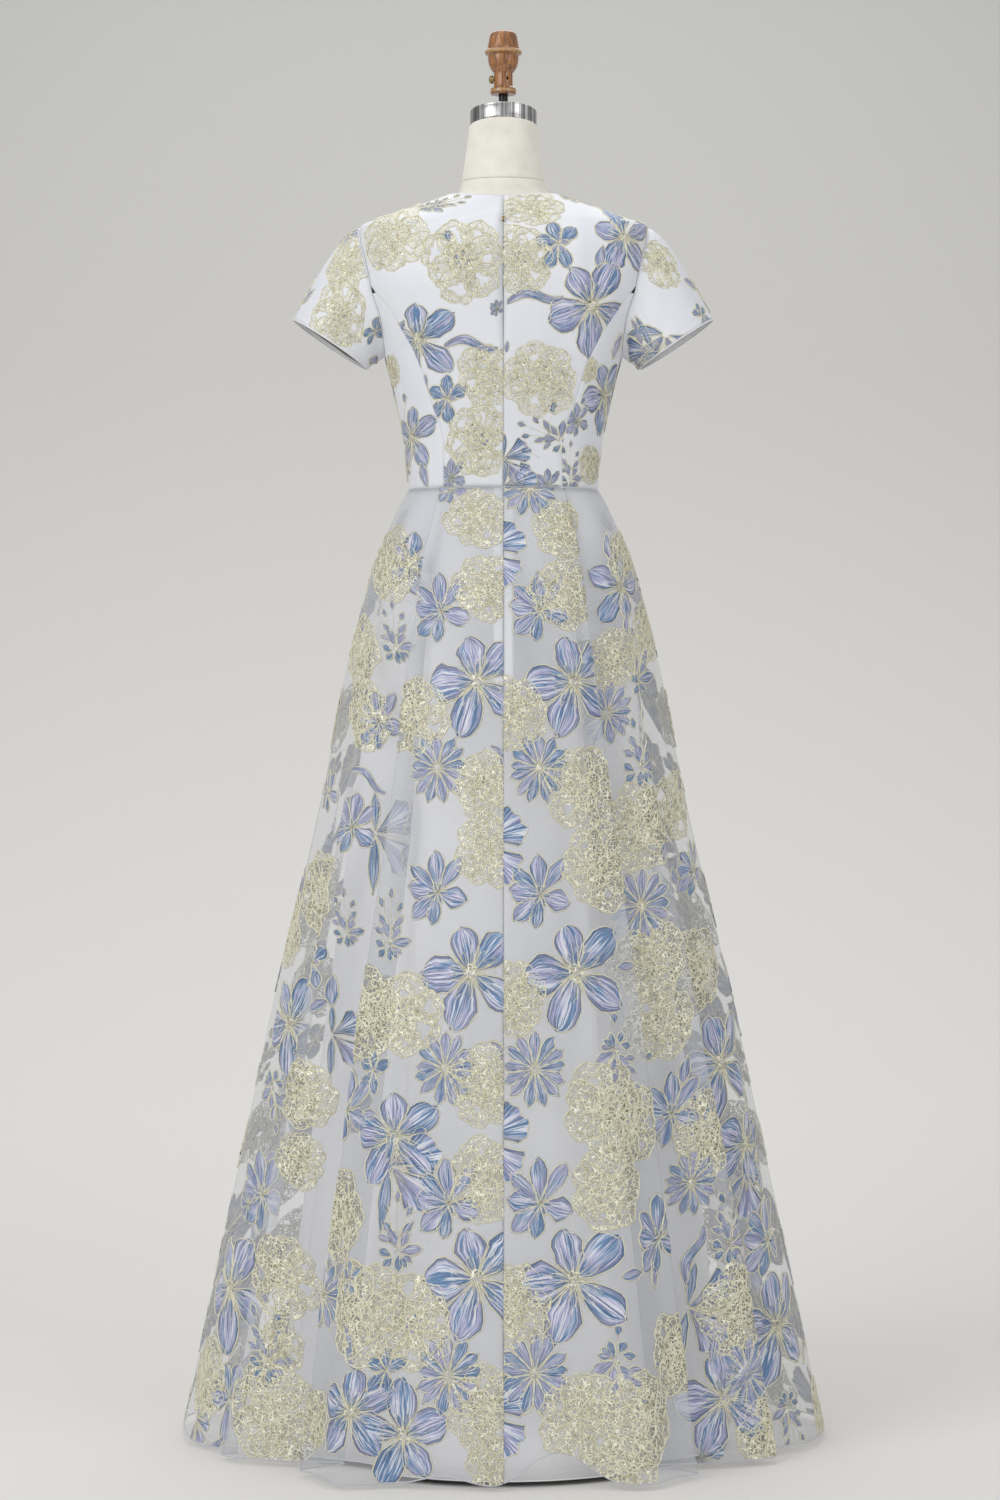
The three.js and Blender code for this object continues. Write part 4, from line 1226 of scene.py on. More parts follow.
@dataclass
class Sleeve:
    """A short set-in sleeve: a tube from the armhole to the cuff."""

    centre: tuple[float, float, float] = (211.0, 0.0, 1320.0)
    cuff_up: tuple[float, float, float] = (45.0, 0.0, 30.0)
    cuff_front: tuple[float, float, float] = (0.0, 57.0, 0.0)
    head_bulge: float = 9.0
    head_out: tuple[float, float, float] = (0.8, 0.0, 0.6)
    wall: float = 0.7
    rows: int = 30
    # Turn, share of the length, width, length and depth
    creases: tuple[tuple[float, ...], ...] = (
        (150, 0.30, 26, 0.34, 1.8), (-150, 0.26, 24, 0.30, 1.8), (118, 0.22, 14, 0.24, 1.5),
        (-112, 0.24, 14, 0.26, 1.5), (60, 0.14, 10, 0.16, 0.9), (-55, 0.15, 10, 0.18, 0.9),
        (88, 0.62, 16, 0.30, 1.0), (-92, 0.58, 15, 0.32, 1.1), (176, 0.66, 20, 0.30, 1.6),
    )

    def start_loop(self) -> Places:
        """The tube's first ring, just off the armhole, with each point's turn round the tube.

        Returns:
            Points and turns in radians, from the shoulder round the back.
        """
        down = np.concatenate(
            [even(1461.0, 1443, 1.5), even(1443, 1322, 5)[1:], even(1322, 1305.6, 1.5)[1:]]
        )
        level = np.concatenate([[SHOULDER_TIP], down, [UNDERARM], down[::-1]])
        back = np.arange(len(level)) <= len(down) + 1
        degrees = np.where(back, armhole(ARMHOLE_BACK, level), armhole(ARMHOLE_FRONT, level))
        edge = BODICE.points(degrees, level)
        middle = (UNDERARM + SHOULDER_TIP) / 2
        inward = BODICE.points(90 + (degrees - 90) * 1.12, middle + (level - middle) * 1.12)
        along = np.roll(edge, -1, axis=0) - np.roll(edge, 1, axis=0)
        away = edge - inward
        away /= np.linalg.norm(away, axis=1, keepdims=True)
        out = np.cross(along, away)
        out /= np.linalg.norm(out, axis=1, keepdims=True)
        start = edge + SEAM_GAP * (away + out)
        lengths = running(np.array([[*start, start[0]]]), 1)[0]
        bottom = len(down) + 1
        first = np.pi * lengths[:-1] / lengths[bottom]
        rest = np.pi * (1 + (lengths[:-1] - lengths[bottom]) / (lengths[-1] - lengths[bottom]))
        return start, np.where(back, first, rest)

    def grid(self) -> Array:
        """The right sleeve's outer face, by rows from the armhole to the cuff.

        Returns:
            The grid of points.
        """
        start, turn = self.start_loop()
        v = np.linspace(0, 1, self.rows + 1)[:, None, None]
        centre, up, front = (np.array(way) for way in (self.centre, self.cuff_up, self.cuff_front))
        cuff = centre + np.cos(turn)[:, None] * up - np.sin(turn)[:, None] * front
        bulge = self.head_bulge * np.sin(np.pi * v**0.6) * (0.5 + 0.5 * np.cos(turn))[None, :, None]
        grid = start[None] * (1 - v) + cuff[None] * v + bulge * np.array(self.head_out)
        return grid - self.normals(grid) * self.crease_depth(turn)[..., None]

    def crease_depth(self, turn: Array) -> Array:
        """How deep the drag lines are, by rows and columns of the tube.

        Args:
            turn: Angles round the tube.

        Returns:
            The depth at each point of the grid.
        """
        v = np.linspace(0, 1, self.rows + 1)[:, None]
        degrees = (np.degrees(turn)[None] + 180) % 360 - 180
        depth = np.zeros((self.rows + 1, len(turn)))
        for angle, along, width, length, deep in self.creases:
            off = (degrees - angle - 30 * (v - along) + 180) % 360 - 180
            depth += deep * bump_of(off / width) * bump_of((v - along) / length)
        return depth * smoothstep(v, 0, 0.08)

    @staticmethod
    def normals(grid: Array) -> Array:
        """Outward directions of a closed tube's grid.

        Args:
            grid: The tube's points.

        Returns:
            One direction for each point.
        """
        across = np.roll(grid, -1, axis=1) - np.roll(grid, 1, axis=1)
        along = np.gradient(grid, axis=0)
        out = np.cross(across, along)
        return out / np.linalg.norm(out, axis=-1, keepdims=True)

    def build(self, name: str, material: Material) -> Object:
        """Make a sleeve as a thin shell.

        Args:
            name: Its name, which says on which side it is.
            material: Its cloth.

        Returns:
            The sleeve.
        """
        outer = self.grid()
        inner = outer - self.normals(outer) * self.wall
        arc, length = running(outer, 1), running(outer, 0)
        if side_of(name) < 0:
            flip = np.array([-1, 1, 1])
            outer, inner = outer[:, ::-1] * flip, inner[:, ::-1] * flip
            arc, length = arc[:, ::-1], length[:, ::-1]
        bag = Bag()
        shell(bag, outer, inner, np.stack([arc, length], axis=-1) * MM, closed=True)
        return bag.piece(name, [material])


# Woven flowers


class Kind(Enum):
    """The motifs of the brocade's repeat."""

    STAR = "star"
    LARGE = "large"
    DAISY = "daisy"
    SMALL = "small"
    FAN = "fans"
    SPRIG = "sprig"
    LEAF = "leaf"
    WAVE = "wave"
    BUD = "bud"
    PEONY = "peony"
    VEILED = "veiled"


@dataclass(frozen=True)
class Spot:
    """A motif's place: its middle, its size, its turn clockwise and its angle if x isn't given."""

    kind: Kind
    x: float
    z: float
    size: float = 1.0
    turn: float = 0.0
    angle: float | None = None


@dataclass(frozen=True)
class Petal:
    """One petal, drawn from the flower's heart: turn clockwise from up, lengths in millimetres."""

    turn: float
    length: float
    half: float
    blunt: float = 1.35
    roundness: float = 0.62
    tint: float = 0.3
    bend: float = 0.0
    start: float = 0.06
    foot: tuple[float, float] = (0.0, 0.0)


@dataclass(frozen=True)
class Flat:
    """A part of a motif while it is flat: places, heights over the cloth, faces and maps."""

    places: Array
    lift: Array
    faces: Array
    map_of: Array
    slot: int
    tint: float


PETALS, CORD, LUREX = range(3)


def turned_places(x: Array, y: Array, degrees: float) -> Array:
    """Flat places turned clockwise about the origin."""
    across, up = math.cos(math.radians(degrees)), math.sin(math.radians(degrees))
    return np.stack([x * across + y * up, y * across - x * up], axis=-1)


@dataclass
class Needle:
    """Draws the motifs flat, with the same small irregularities in every run."""

    seed: int = 7
    dome: float = 1.1
    cord_radius: float = 1.05
    coarse: bool = False
    parts: list[Flat] = field(default_factory=list)

    def __post_init__(self) -> None:
        """Start the random draws."""
        self.random = np.random.default_rng(self.seed)

    def rough(self, shape: tuple[int, int]) -> Array:
        """Uneven values between -1 and 1."""
        return self.random.uniform(-1, 1, shape)

    def lay_part(
        self,
        places: Array,
        lift: Array,
        map_of: tuple[Array, Array],
        slot: int,
        tint: float = 0.0,
        closed: bool = False,
        flipped: bool = False,
    ) -> None:
        """Keep a grid of places as a part of the motif.

        Args:
            places: The grid, rows by columns.
            lift: Its heights over the cloth.
            map_of: Its places on the map, across and along.
            slot: The number of its material.
            tint: The share of blue.
            closed: Whether a row's last place meets its first.
            flipped: Whether its faces turn the other way.
        """
        faces = grid_faces(*places.shape[:2], closed, flipped)
        spread = np.stack(np.broadcast_arrays(*map_of), axis=-1).reshape(-1, 2)
        self.parts.append(Flat(places.reshape(-1, 2), lift.ravel(), faces, spread, slot, tint))

    def petal(self, p: Petal) -> None:
        """Draw a domed petal with a cord round its edge.

        Args:
            p: The petal.
        """
        rows = 5 if self.coarse or p.length <= 20 else 9
        v = np.sin(np.linspace(0, np.pi / 2, rows))[:, None]
        s = np.linspace(-1, 1, 3 if self.coarse else 5)[None]
        wobble = self.random.uniform(0, 6.3, 3)
        ripple = 1 + 0.07 * np.sin(9 * v + wobble[0]) + 0.05 * np.sin(17 * v + wobble[1])
        half = p.half * np.sin(np.pi * v**p.blunt) ** p.roundness * ripple
        x = np.maximum(half, 0.08 * p.half) * s + p.bend * p.length * v**2
        frill = 0.045 * p.length * np.cos(4.5 * s + wobble[2]) * v**3
        y = p.length * (p.start + (1 - p.start) * v) + frill
        lift = self.dome * (1 - s**2) ** 0.55 * np.sin(np.pi * np.clip(v, 0.04, 0.96)) ** 0.45
        lift = lift * (1 + 0.25 * np.cos(3 * np.pi * s)) + 0.25
        places = turned_places(x, y, p.turn) + np.array(p.foot)
        tint = float(np.clip(p.tint + self.random.uniform(-0.12, 0.12), 0, 1))
        self.lay_part(places, lift, (s, v), PETALS, tint)
        self.cord(np.vstack([places[:, 0], places[::-1, -1]]), closed=True)

    def petals(self, rows: Iterable[tuple[float, ...]], *shape: float) -> None:
        """Draw petals, each from its turn, length, half width and tint, with one shape for all."""
        for turn, length, half, tint in rows:
            self.petal(Petal(turn, length, half, *shape, tint))

    def fan(self, turn: float, radius: float, spread: float, tint: float) -> None:
        """Draw a fan-shaped petal with a frilled rim.

        Args:
            turn: The direction of its middle, clockwise from up.
            radius: Its length.
            spread: Half the angle that it opens.
            tint: The share of blue.
        """
        v = np.linspace(0.06, 1, 6 if self.coarse else 11)[:, None]
        s = np.linspace(-1, 1, 9 if self.coarse else 15)[None]
        wobble = self.random.uniform(0, 6.3)
        rim = 1 - 0.16 * np.abs(s) ** 3 + 0.035 * np.sin(11 * s + wobble) + 0.03 * np.sin(5 * s)
        open_by = np.radians(turn + spread * s * (0.75 + 0.25 * v))
        reach = radius * v * (1 + (rim - 1) * v**2)
        places = np.stack([reach * np.sin(open_by), reach * np.cos(open_by)], axis=-1)
        lift = 0.3 + self.dome * (1 - s**2) ** 0.5 * (0.6 + 0.35 * np.cos(6 * np.pi * s)) * v**0.3
        self.lay_part(places, lift * np.where(v > 0.97, 0.4, 1.0), (s, v), PETALS, tint)
        self.cord(np.vstack([places[:, 0], places[-1, 1:-1], places[::-1, -1]]), closed=True)

    def cord(
        self, line: Array, closed: bool = False, radius: float | None = None, height: float = 0.5
    ) -> None:
        """Lay a cord along a line, thick and thin by turns as a twisted cord is.

        Args:
            line: The places that it passes.
            closed: Whether its ends meet.
            radius: Its radius.
            height: How high its middle lies over the cloth.
        """
        count, sides = len(line), 3
        ahead_less_behind = np.roll(line, -1, axis=0) - np.roll(line, 1, axis=0)
        along = ahead_less_behind if closed else np.gradient(line, axis=0)
        along = along / np.maximum(np.linalg.norm(along, axis=1, keepdims=True), 1e-6)
        side = np.stack([-along[:, 1], along[:, 0]], axis=-1)
        thick = (radius or self.cord_radius) * (1 + self.random.uniform(-0.28, 0.28, count))
        turn = np.radians([90, 210, 330])
        places = line[:, None] + side[:, None] * (thick[:, None] * np.cos(turn))[..., None]
        lift = height + thick[:, None] * np.sin(turn)
        number = np.arange(count if closed else count - 1)[:, None]
        ring = np.arange(sides)[None]
        after, beside = sides * ((number + 1) % count), (ring + 1) % sides
        number = sides * number
        faces = np.stack([number + ring, number + beside, after + beside, after + ring], -1).reshape(-1, 4)
        if not closed:
            last = (count - 1) * sides
            faces = np.vstack([faces, [[2, 1, 0, 0]], [[last, last + 1, last + 2, last + 2]]])
        map_of = np.stack([np.repeat(np.arange(count), sides), np.tile(ring[0], count)], axis=-1) * 0.25
        self.parts.append(Flat(places.reshape(-1, 2), lift.ravel(), faces, map_of, CORD, 0.0))

    def blob(self, x: float, y: float, across: float, up: float) -> None:
        """Draw a small knobbly heart of gold film.

        Args:
            x: Its middle across.
            y: Its middle up.
            across: Half its width.
            up: Half its height.
        """
        shape = 4, 12
        r = np.linspace(0.02, 1, shape[0])[:, None]
        t = np.linspace(0, 2 * np.pi, shape[1], endpoint=False)[None]
        size = r * (1 + 0.13 * self.rough(shape) * (r > 0.3))
        places = np.stack([x + across * size * np.sin(t), y + up * size * np.cos(t)], axis=-1)
        lift = 0.5 + 1.3 * np.sqrt(1 - (0.95 * r) ** 2) + 0.5 * self.rough(shape)
        lift[-1] = 0.1
        self.lay_part(places, lift, (r, t / 6.3), LUREX, closed=True)

    def loop(
        self, x: float, y: float, across: float, up: float, turn: float, hole: float, base: float
    ) -> None:
        """Draw a crumpled ring of crimped film with a cord round it, open in its middle.

        Args:
            x: Its middle across.
            y: Its middle up.
            across: Half its width.
            up: Half its height.
            turn: Its turn clockwise.
            hole: The share of it that stays open.
            base: How high it lies over the cloth.
        """
        shape = (4, 14) if self.coarse else (5, 24)
        t = np.linspace(0, 2 * np.pi, shape[1], endpoint=False)[None]
        r = np.linspace(hole, 1, shape[0])[:, None]
        wobble = self.random.uniform(0, 6.3, 4)
        edge = 1 + 0.07 * np.sin(5 * t + wobble[0]) + 0.05 * np.sin(9 * t + wobble[1])
        inner = 1 + 0.2 * np.sin(3 * t + wobble[2]) + 0.12 * np.sin(7 * t + wobble[3])
        share = (r - hole) / (1 - hole)
        size = r * (edge * share + inner * (1 - share)) + 0.018 * self.rough(shape)
        places = turned_places(across * size * np.sin(t), up * size * np.cos(t), turn) + np.array([x, y])
        crest = np.sin(np.pi * np.clip(share, 0.05, 0.95)) ** 0.5
        lift = np.maximum(base + crest * (0.75 + 0.85 * self.rough(shape)), 0.15)
        self.lay_part(places, lift, (r, t), LUREX, closed=True)
        self.cord(places[-1, ::-1], True, 0.95, base + 0.6)
        if not self.coarse:
            self.cord(places[1, ::2], True, 0.7, base + 1.2)

    def stamens(
        self, count: int, inner: float, outer: float, turn: float = 0.0, spread: float = 360.0
    ) -> None:
        """Draw fine cords from the heart into the petals.

        Args:
            count: How many there are.
            inner: Where they start.
            outer: How far they reach at the most.
            turn: The middle of their fan, clockwise from up.
            spread: How wide their fan opens.
        """
        for i in range(0 if self.coarse else count):
            at = math.radians(turn + spread * ((i + 0.5) / count - 0.5) + self.random.uniform(-6, 6))
            reach = inner + (outer - inner) * self.random.uniform(0.55, 1)
            along = np.linspace(inner, reach, 4)[:, None]
            bend = at + np.linspace(0, self.random.uniform(-0.12, 0.12), 4)[:, None]
            self.cord(np.hstack([along * np.sin(bend), along * np.cos(bend)]), radius=0.45, height=1.3)

    def star(self) -> None:
        """A seven-petalled flower with a blue heart."""
        for turn, length, half, blunt, tint in (
            (-4, 49, 10.5, 1.5, 0.42), (34, 51, 9.5, 1.5, 0.36), (106, 36, 13.5, 1.35, 0.34),
            (190, 38, 8.5, 1.6, 0.74), (-134, 43, 11.5, 1.5, 0.4), (-80, 37, 13.5, 1.3, 0.38),
            (-46, 45, 9.5, 1.5, 0.5),
        ):
            self.petal(Petal(turn, length, half, blunt, 0.6, tint))
        self.petals(((turn, 13, 2.6, 0.95) for turn in (-20, 20, 95, 160, 225, 265)), 1.1, 0.8)
        self.stamens(5, 5, 17, 10, 100)

    def large(self) -> None:
        """A broad five-petalled flower with a heaped gold heart."""
        for turn, length, half, tint in (
            (-12, 53, 17.5, 0.36), (46, 64, 19.5, 0.52), (126, 66, 18.5, 0.42), (198, 67, 20, 0.40),
            (267, 57, 23, 0.38),
        ):
            self.petal(Petal(turn, length, half, 1.5, 0.5, tint))
            for offset in (-12, 13):
                self.petal(Petal(turn + offset, length * 0.5, half * 0.2, 1.2, 0.9, 0.92, start=0.2))
        self.blob(0, 0, 9.5, 15)
        self.stamens(22, 9, 33)

    def daisy(self) -> None:
        """A flower of thirteen narrow petals, some of them blue."""
        count = 13
        for i in range(count):
            turn = 360 * i / count + self.random.uniform(-4, 4)
            reach = 33 + 9 * abs(math.cos(math.radians(turn)))
            self.petal(Petal(turn, reach, 7.0, 1.7, 0.6, (0.32, 0.5, 0.42, 0.62)[i % 4], start=0.12))
        self.blob(0, 0, 4.2, 5.2)
        self.stamens(9, 5, 17)

    def small(self) -> None:
        """A small blue five-petalled flower with a lavender heart."""
        lengths = {-10: 25, 52: 25, 165: 27, 214: 29, 290: 23}
        self.petals(((turn, length, 7.6, 0.86) for turn, length in lengths.items()), 1.5, 0.5)
        self.petals(((turn, 12, 3.0, 0.1) for turn in range(12, 360, 72)), 1.1, 0.8)

    def fans(self) -> None:
        """Two frilled fans and two thin petals, as of a flower seen from its side."""
        self.petal(Petal(6, 50, 6, 1.1, 0.8, 0.78))
        self.petal(Petal(188, 72, 7, 0.9, 0.8, 0.7))
        self.fan(66, 58, 31, 0.52)
        self.fan(134, 60, 28, 0.44)
        self.stamens(12, 10, 34, 100, 120)

    def sprig(self) -> None:
        """A bunch of little flowers with buds on thin stems."""
        for turn, length, half, tint, foot in (
            (-60, 15, 5, 0.95, (-6, -16)), (-130, 14, 5, 0.95, (-4, -18)),
            (180, 19, 5.2, 0.95, (2, -14)), (150, 16, 4.5, 0.9, (3, -15)),
            (82, 27, 6.5, 0.35, (2, -12)), (30, 20, 5.5, 0.3, (4, -8)),
            (-20, 24, 6.5, 0.38, (0, -8)), (-70, 18, 4.5, 0.3, (-4, 0)),
            (40, 22, 4.5, 0.42, (4, 4)), (-38, 21, 4.2, 0.4, (-3, 6)), (118, 15, 4.5, 0.36, (4, -16)),
        ):
            self.petal(Petal(turn, length, half, 1.3, 0.7, tint, foot=foot))
        for turn, length, tint in ((-24, 34, 0.95), (2, 42, 0.3), (30, 30, 0.45)):
            way = np.array([math.sin(math.radians(turn) * 0.7), math.cos(math.radians(turn))])
            self.cord(np.linspace(6, length, 6)[:, None] * way, radius=0.5)
            self.petal(Petal(turn, 13, 4, 1.0, 0.7, tint, foot=tuple(length * way)))
        self.blob(0, -10, 3.2, 3.4)

    def leaf(self) -> None:
        """A pointed lavender leaf."""
        self.petal(Petal(0, 34, 7.4, 1.0, 0.75, 0.3, bend=0.1, foot=(0, -17)))

    def wave(self) -> None:
        """A long ribbon of a leaf in two bends."""
        t = np.linspace(0, 1, 15)[:, None]
        s = np.linspace(-1, 1, 5)[None]
        half = 6.2 * np.sin(np.pi * np.clip(t, 0.02, 0.98) ** 0.8) ** 0.35
        y = 5.5 * np.sin(2 * np.pi * t - 0.6) + 5 * t + half * s
        places = np.stack([-32 + 64 * t + 0 * s, y], axis=-1)
        lift = 0.3 + 0.9 * (1 - s**2) ** 0.6 * (0.85 + 0.15 * np.cos(30 * t))
        self.lay_part(places, lift, (s, 3 * t), PETALS, 0.44, flipped=True)
        self.cord(np.vstack([places[:, 0], places[::-1, -1]]), closed=True)

    def bud(self) -> None:
        """A round blue bud on a thread."""
        self.petal(Petal(0, 15, 6, 1.2, 0.5, 0.95, foot=(0, -6)))
        self.cord(np.array([[0, -6], [-2, -13], [-5, -20], [-7, -27]], float), radius=0.45)

    def peony(self, hole: float = 0.14, heart: float = 0.0) -> None:
        """A heaped flower of crimped gold film.

        Args:
            hole: How open its outer rings are.
            heart: The size of its lavender heart, 0 for none.
        """
        start = self.random.uniform(0, 60)
        for i in range(7):
            at = math.radians(start + 51.4 * i + self.random.uniform(-8, 8))
            out = 21.5 + self.random.uniform(-2.5, 2.5)
            size = 15.5 + self.random.uniform(-2, 2.5)
            open_by = float(np.clip(hole + self.random.uniform(-0.12, 0.16), 0.05, 0.6))
            x, y = out * math.sin(at), 1.15 * out * math.cos(at)
            self.loop(x, y, size * 1.12, size * 1.05, math.degrees(at), open_by, 0.25 + 0.16 * (i % 3))
        for i in range(3):
            at = math.radians(start + 120 * i + 30)
            self.loop(8.5 * math.sin(at), 9.5 * math.cos(at), 11, 12, math.degrees(at), hole * 0.5, 0.75)
        if heart:
            for i in range(7):
                turn = 51 * i + self.random.uniform(-12, 12)
                tint = 0.95 if i % 3 == 0 else 0.15
                self.petal(Petal(turn, 10 * heart, 3.2 * heart, 1.2, 0.6, tint, start=0.1))

    def veiled(self) -> None:
        """A peony with wide open rings and a lavender heart."""
        self.peony(0.42, 1.0)

    def draw(self, kind: Kind) -> list[Flat]:
        """Draw a motif flat, by the method that has its name.

        Args:
            kind: The kind of motif.

        Returns:
            Its flat parts.
        """
        self.parts = []
        getattr(self, kind.value)()
        return self.parts


@dataclass
class Region:
    """A cloth piece that motifs lie on, cut off at its seams and its hem."""

    surface: Surface
    edges: Callable[[Array, Array], Places]
    ends: Callable[[Array, Array], Places]
    dip: float = SEAM_DIP

    def find(self, spot: Spot) -> float:
        """The angle of a spot: the part of the face with its x that lies nearest the back.

        Args:
            spot: The spot in the picture's plane.

        Returns:
            The angle in degrees.
        """
        if spot.angle is not None:
            return spot.angle
        degrees = np.arange(-92, 92.01, 0.25)
        points = self.surface.points(degrees, spot.z)
        off = np.abs(points[:, 0] - spot.x)
        near = off < max(1.5, off.min() + 0.2)
        return float(degrees[near][np.argmin(points[near, 1])])

    def place(self, spot: Spot, flat: Array, lift: Array) -> Places:
        """Lay flat places on the cloth.

        Args:
            spot: The motif's place.
            flat: Places round its middle.
            lift: Heights over the cloth.

        Returns:
            The points, and which of them lie inside the seams.
        """
        degrees, z = self.surface.lay(self.find(spot), spot.z, flat)
        low, high = self.edges(degrees, z)
        floor, ceiling = self.ends(degrees, z)
        kept = (degrees > low) & (degrees < high) & (z > floor) & (z < ceiling)
        degrees, z = np.clip(degrees, low, high), np.clip(z, floor, ceiling)
        here, first, last = (self.surface.arc_at(a, z) for a in (degrees, low, high))
        away = np.minimum(here - first, last - here)
        return self.surface.off(degrees, z, lift - self.dip * sunk(away)), kept


@dataclass
class SleeveRegion:
    """A sleeve that motifs lie on, by its turn from the top and its share of the way to the cuff."""

    side: int
    grid: Array
    turn: Array

    def sample(self, turn: Array, v: Array) -> Array:
        """Points of the sleeve's face at turns in degrees and shares of its length.

        Args:
            turn: Turns in degrees.
            v: Shares of the length.

        Returns:
            The points.
        """
        order = np.argsort(self.turn)
        rows = np.clip(v, 0, 1) * (len(self.grid) - 1)
        row = np.minimum(rows.astype(int), len(self.grid) - 2)
        share = (rows - row)[:, None]
        places = np.interp(turn % 360, np.degrees(self.turn)[order], np.arange(len(order)), period=360)
        column = places.astype(int) % len(order)
        after = (column + 1) % len(order)
        part = (places - places.astype(int))[:, None]
        grid = self.grid[:, order]
        low = grid[row, column] * (1 - part) + grid[row, after] * part
        high = grid[row + 1, column] * (1 - part) + grid[row + 1, after] * part
        return low * (1 - share) + high * share

    def place(self, spot: Spot, flat: Array, lift: Array) -> Places:
        """Lay flat places on the sleeve; the spot's x is its turn and its z its share of the way.

        Args:
            spot: The motif's place.
            flat: Places round its middle.
            lift: Heights over the cloth.

        Returns:
            The points, and which of them lie on the sleeve.
        """
        here = np.array([spot.x]), np.array([spot.z])
        round_it = self.sample(here[0] + 4, here[1]) - self.sample(here[0] - 4, here[1])
        down_it = self.sample(here[0], here[1] + 0.05) - self.sample(here[0], here[1] - 0.05)
        turn = spot.x + flat[:, 0] * 8 / np.linalg.norm(round_it)
        v = spot.z - flat[:, 1] * 0.1 / np.linalg.norm(down_it)
        kept = (v > 0.01) & (v < 0.985)
        v = np.clip(v, 0.01, 0.985)
        point = self.sample(turn, v)
        across = self.sample(turn + 2, v) - self.sample(turn - 2, v)
        along = self.sample(turn, v + 0.02) - self.sample(turn, v - 0.02)
        out = np.cross(across, along)
        out /= np.maximum(np.linalg.norm(out, axis=1, keepdims=True), 1e-9)
        point = point + out * lift[:, None]
        return point * np.array([self.side, 1, 1]), kept


def embroider(
    name: str, region: Region | SleeveRegion, spots: Iterable[Spot], needle: Needle, finishes: Finishes
) -> Object:
    """Draw motifs on a cloth piece as one object.

    Args:
        name: The object's name.
        region: The piece that they lie on.
        spots: Their places.
        needle: What draws them.
        finishes: The materials.

    Returns:
        The object.
    """
    bag = Bag()
    mirrored = getattr(region, "side", 1) < 0
    for spot in spots:
        parts = needle.draw(spot.kind)
        flat = np.concatenate([part.places for part in parts]) * spot.size
        turned = turned_places(*flat.T, spot.turn)
        points, kept = region.place(spot, turned, np.concatenate([part.lift for part in parts]))
        start = 0
        for part in parts:
            own = slice(start, start + len(part.places))
            start = own.stop
            faces = part.faces[kept[own][part.faces].any(axis=1)]
            if len(faces):
                faces = faces[:, ::-1] if mirrored else faces
                bag.add(points[own], faces, part.map_of, part.slot, part.tint)
    return bag.piece(name, [finishes.petals, finishes.cord, finishes.lurex], "Petal")


# Where the flowers lie

P, V, S, L, D, M = Kind.PEONY, Kind.VEILED, Kind.STAR, Kind.LARGE, Kind.DAISY, Kind.SMALL
F, G, E, W, B = Kind.FAN, Kind.SPRIG, Kind.LEAF, Kind.WAVE, Kind.BUD
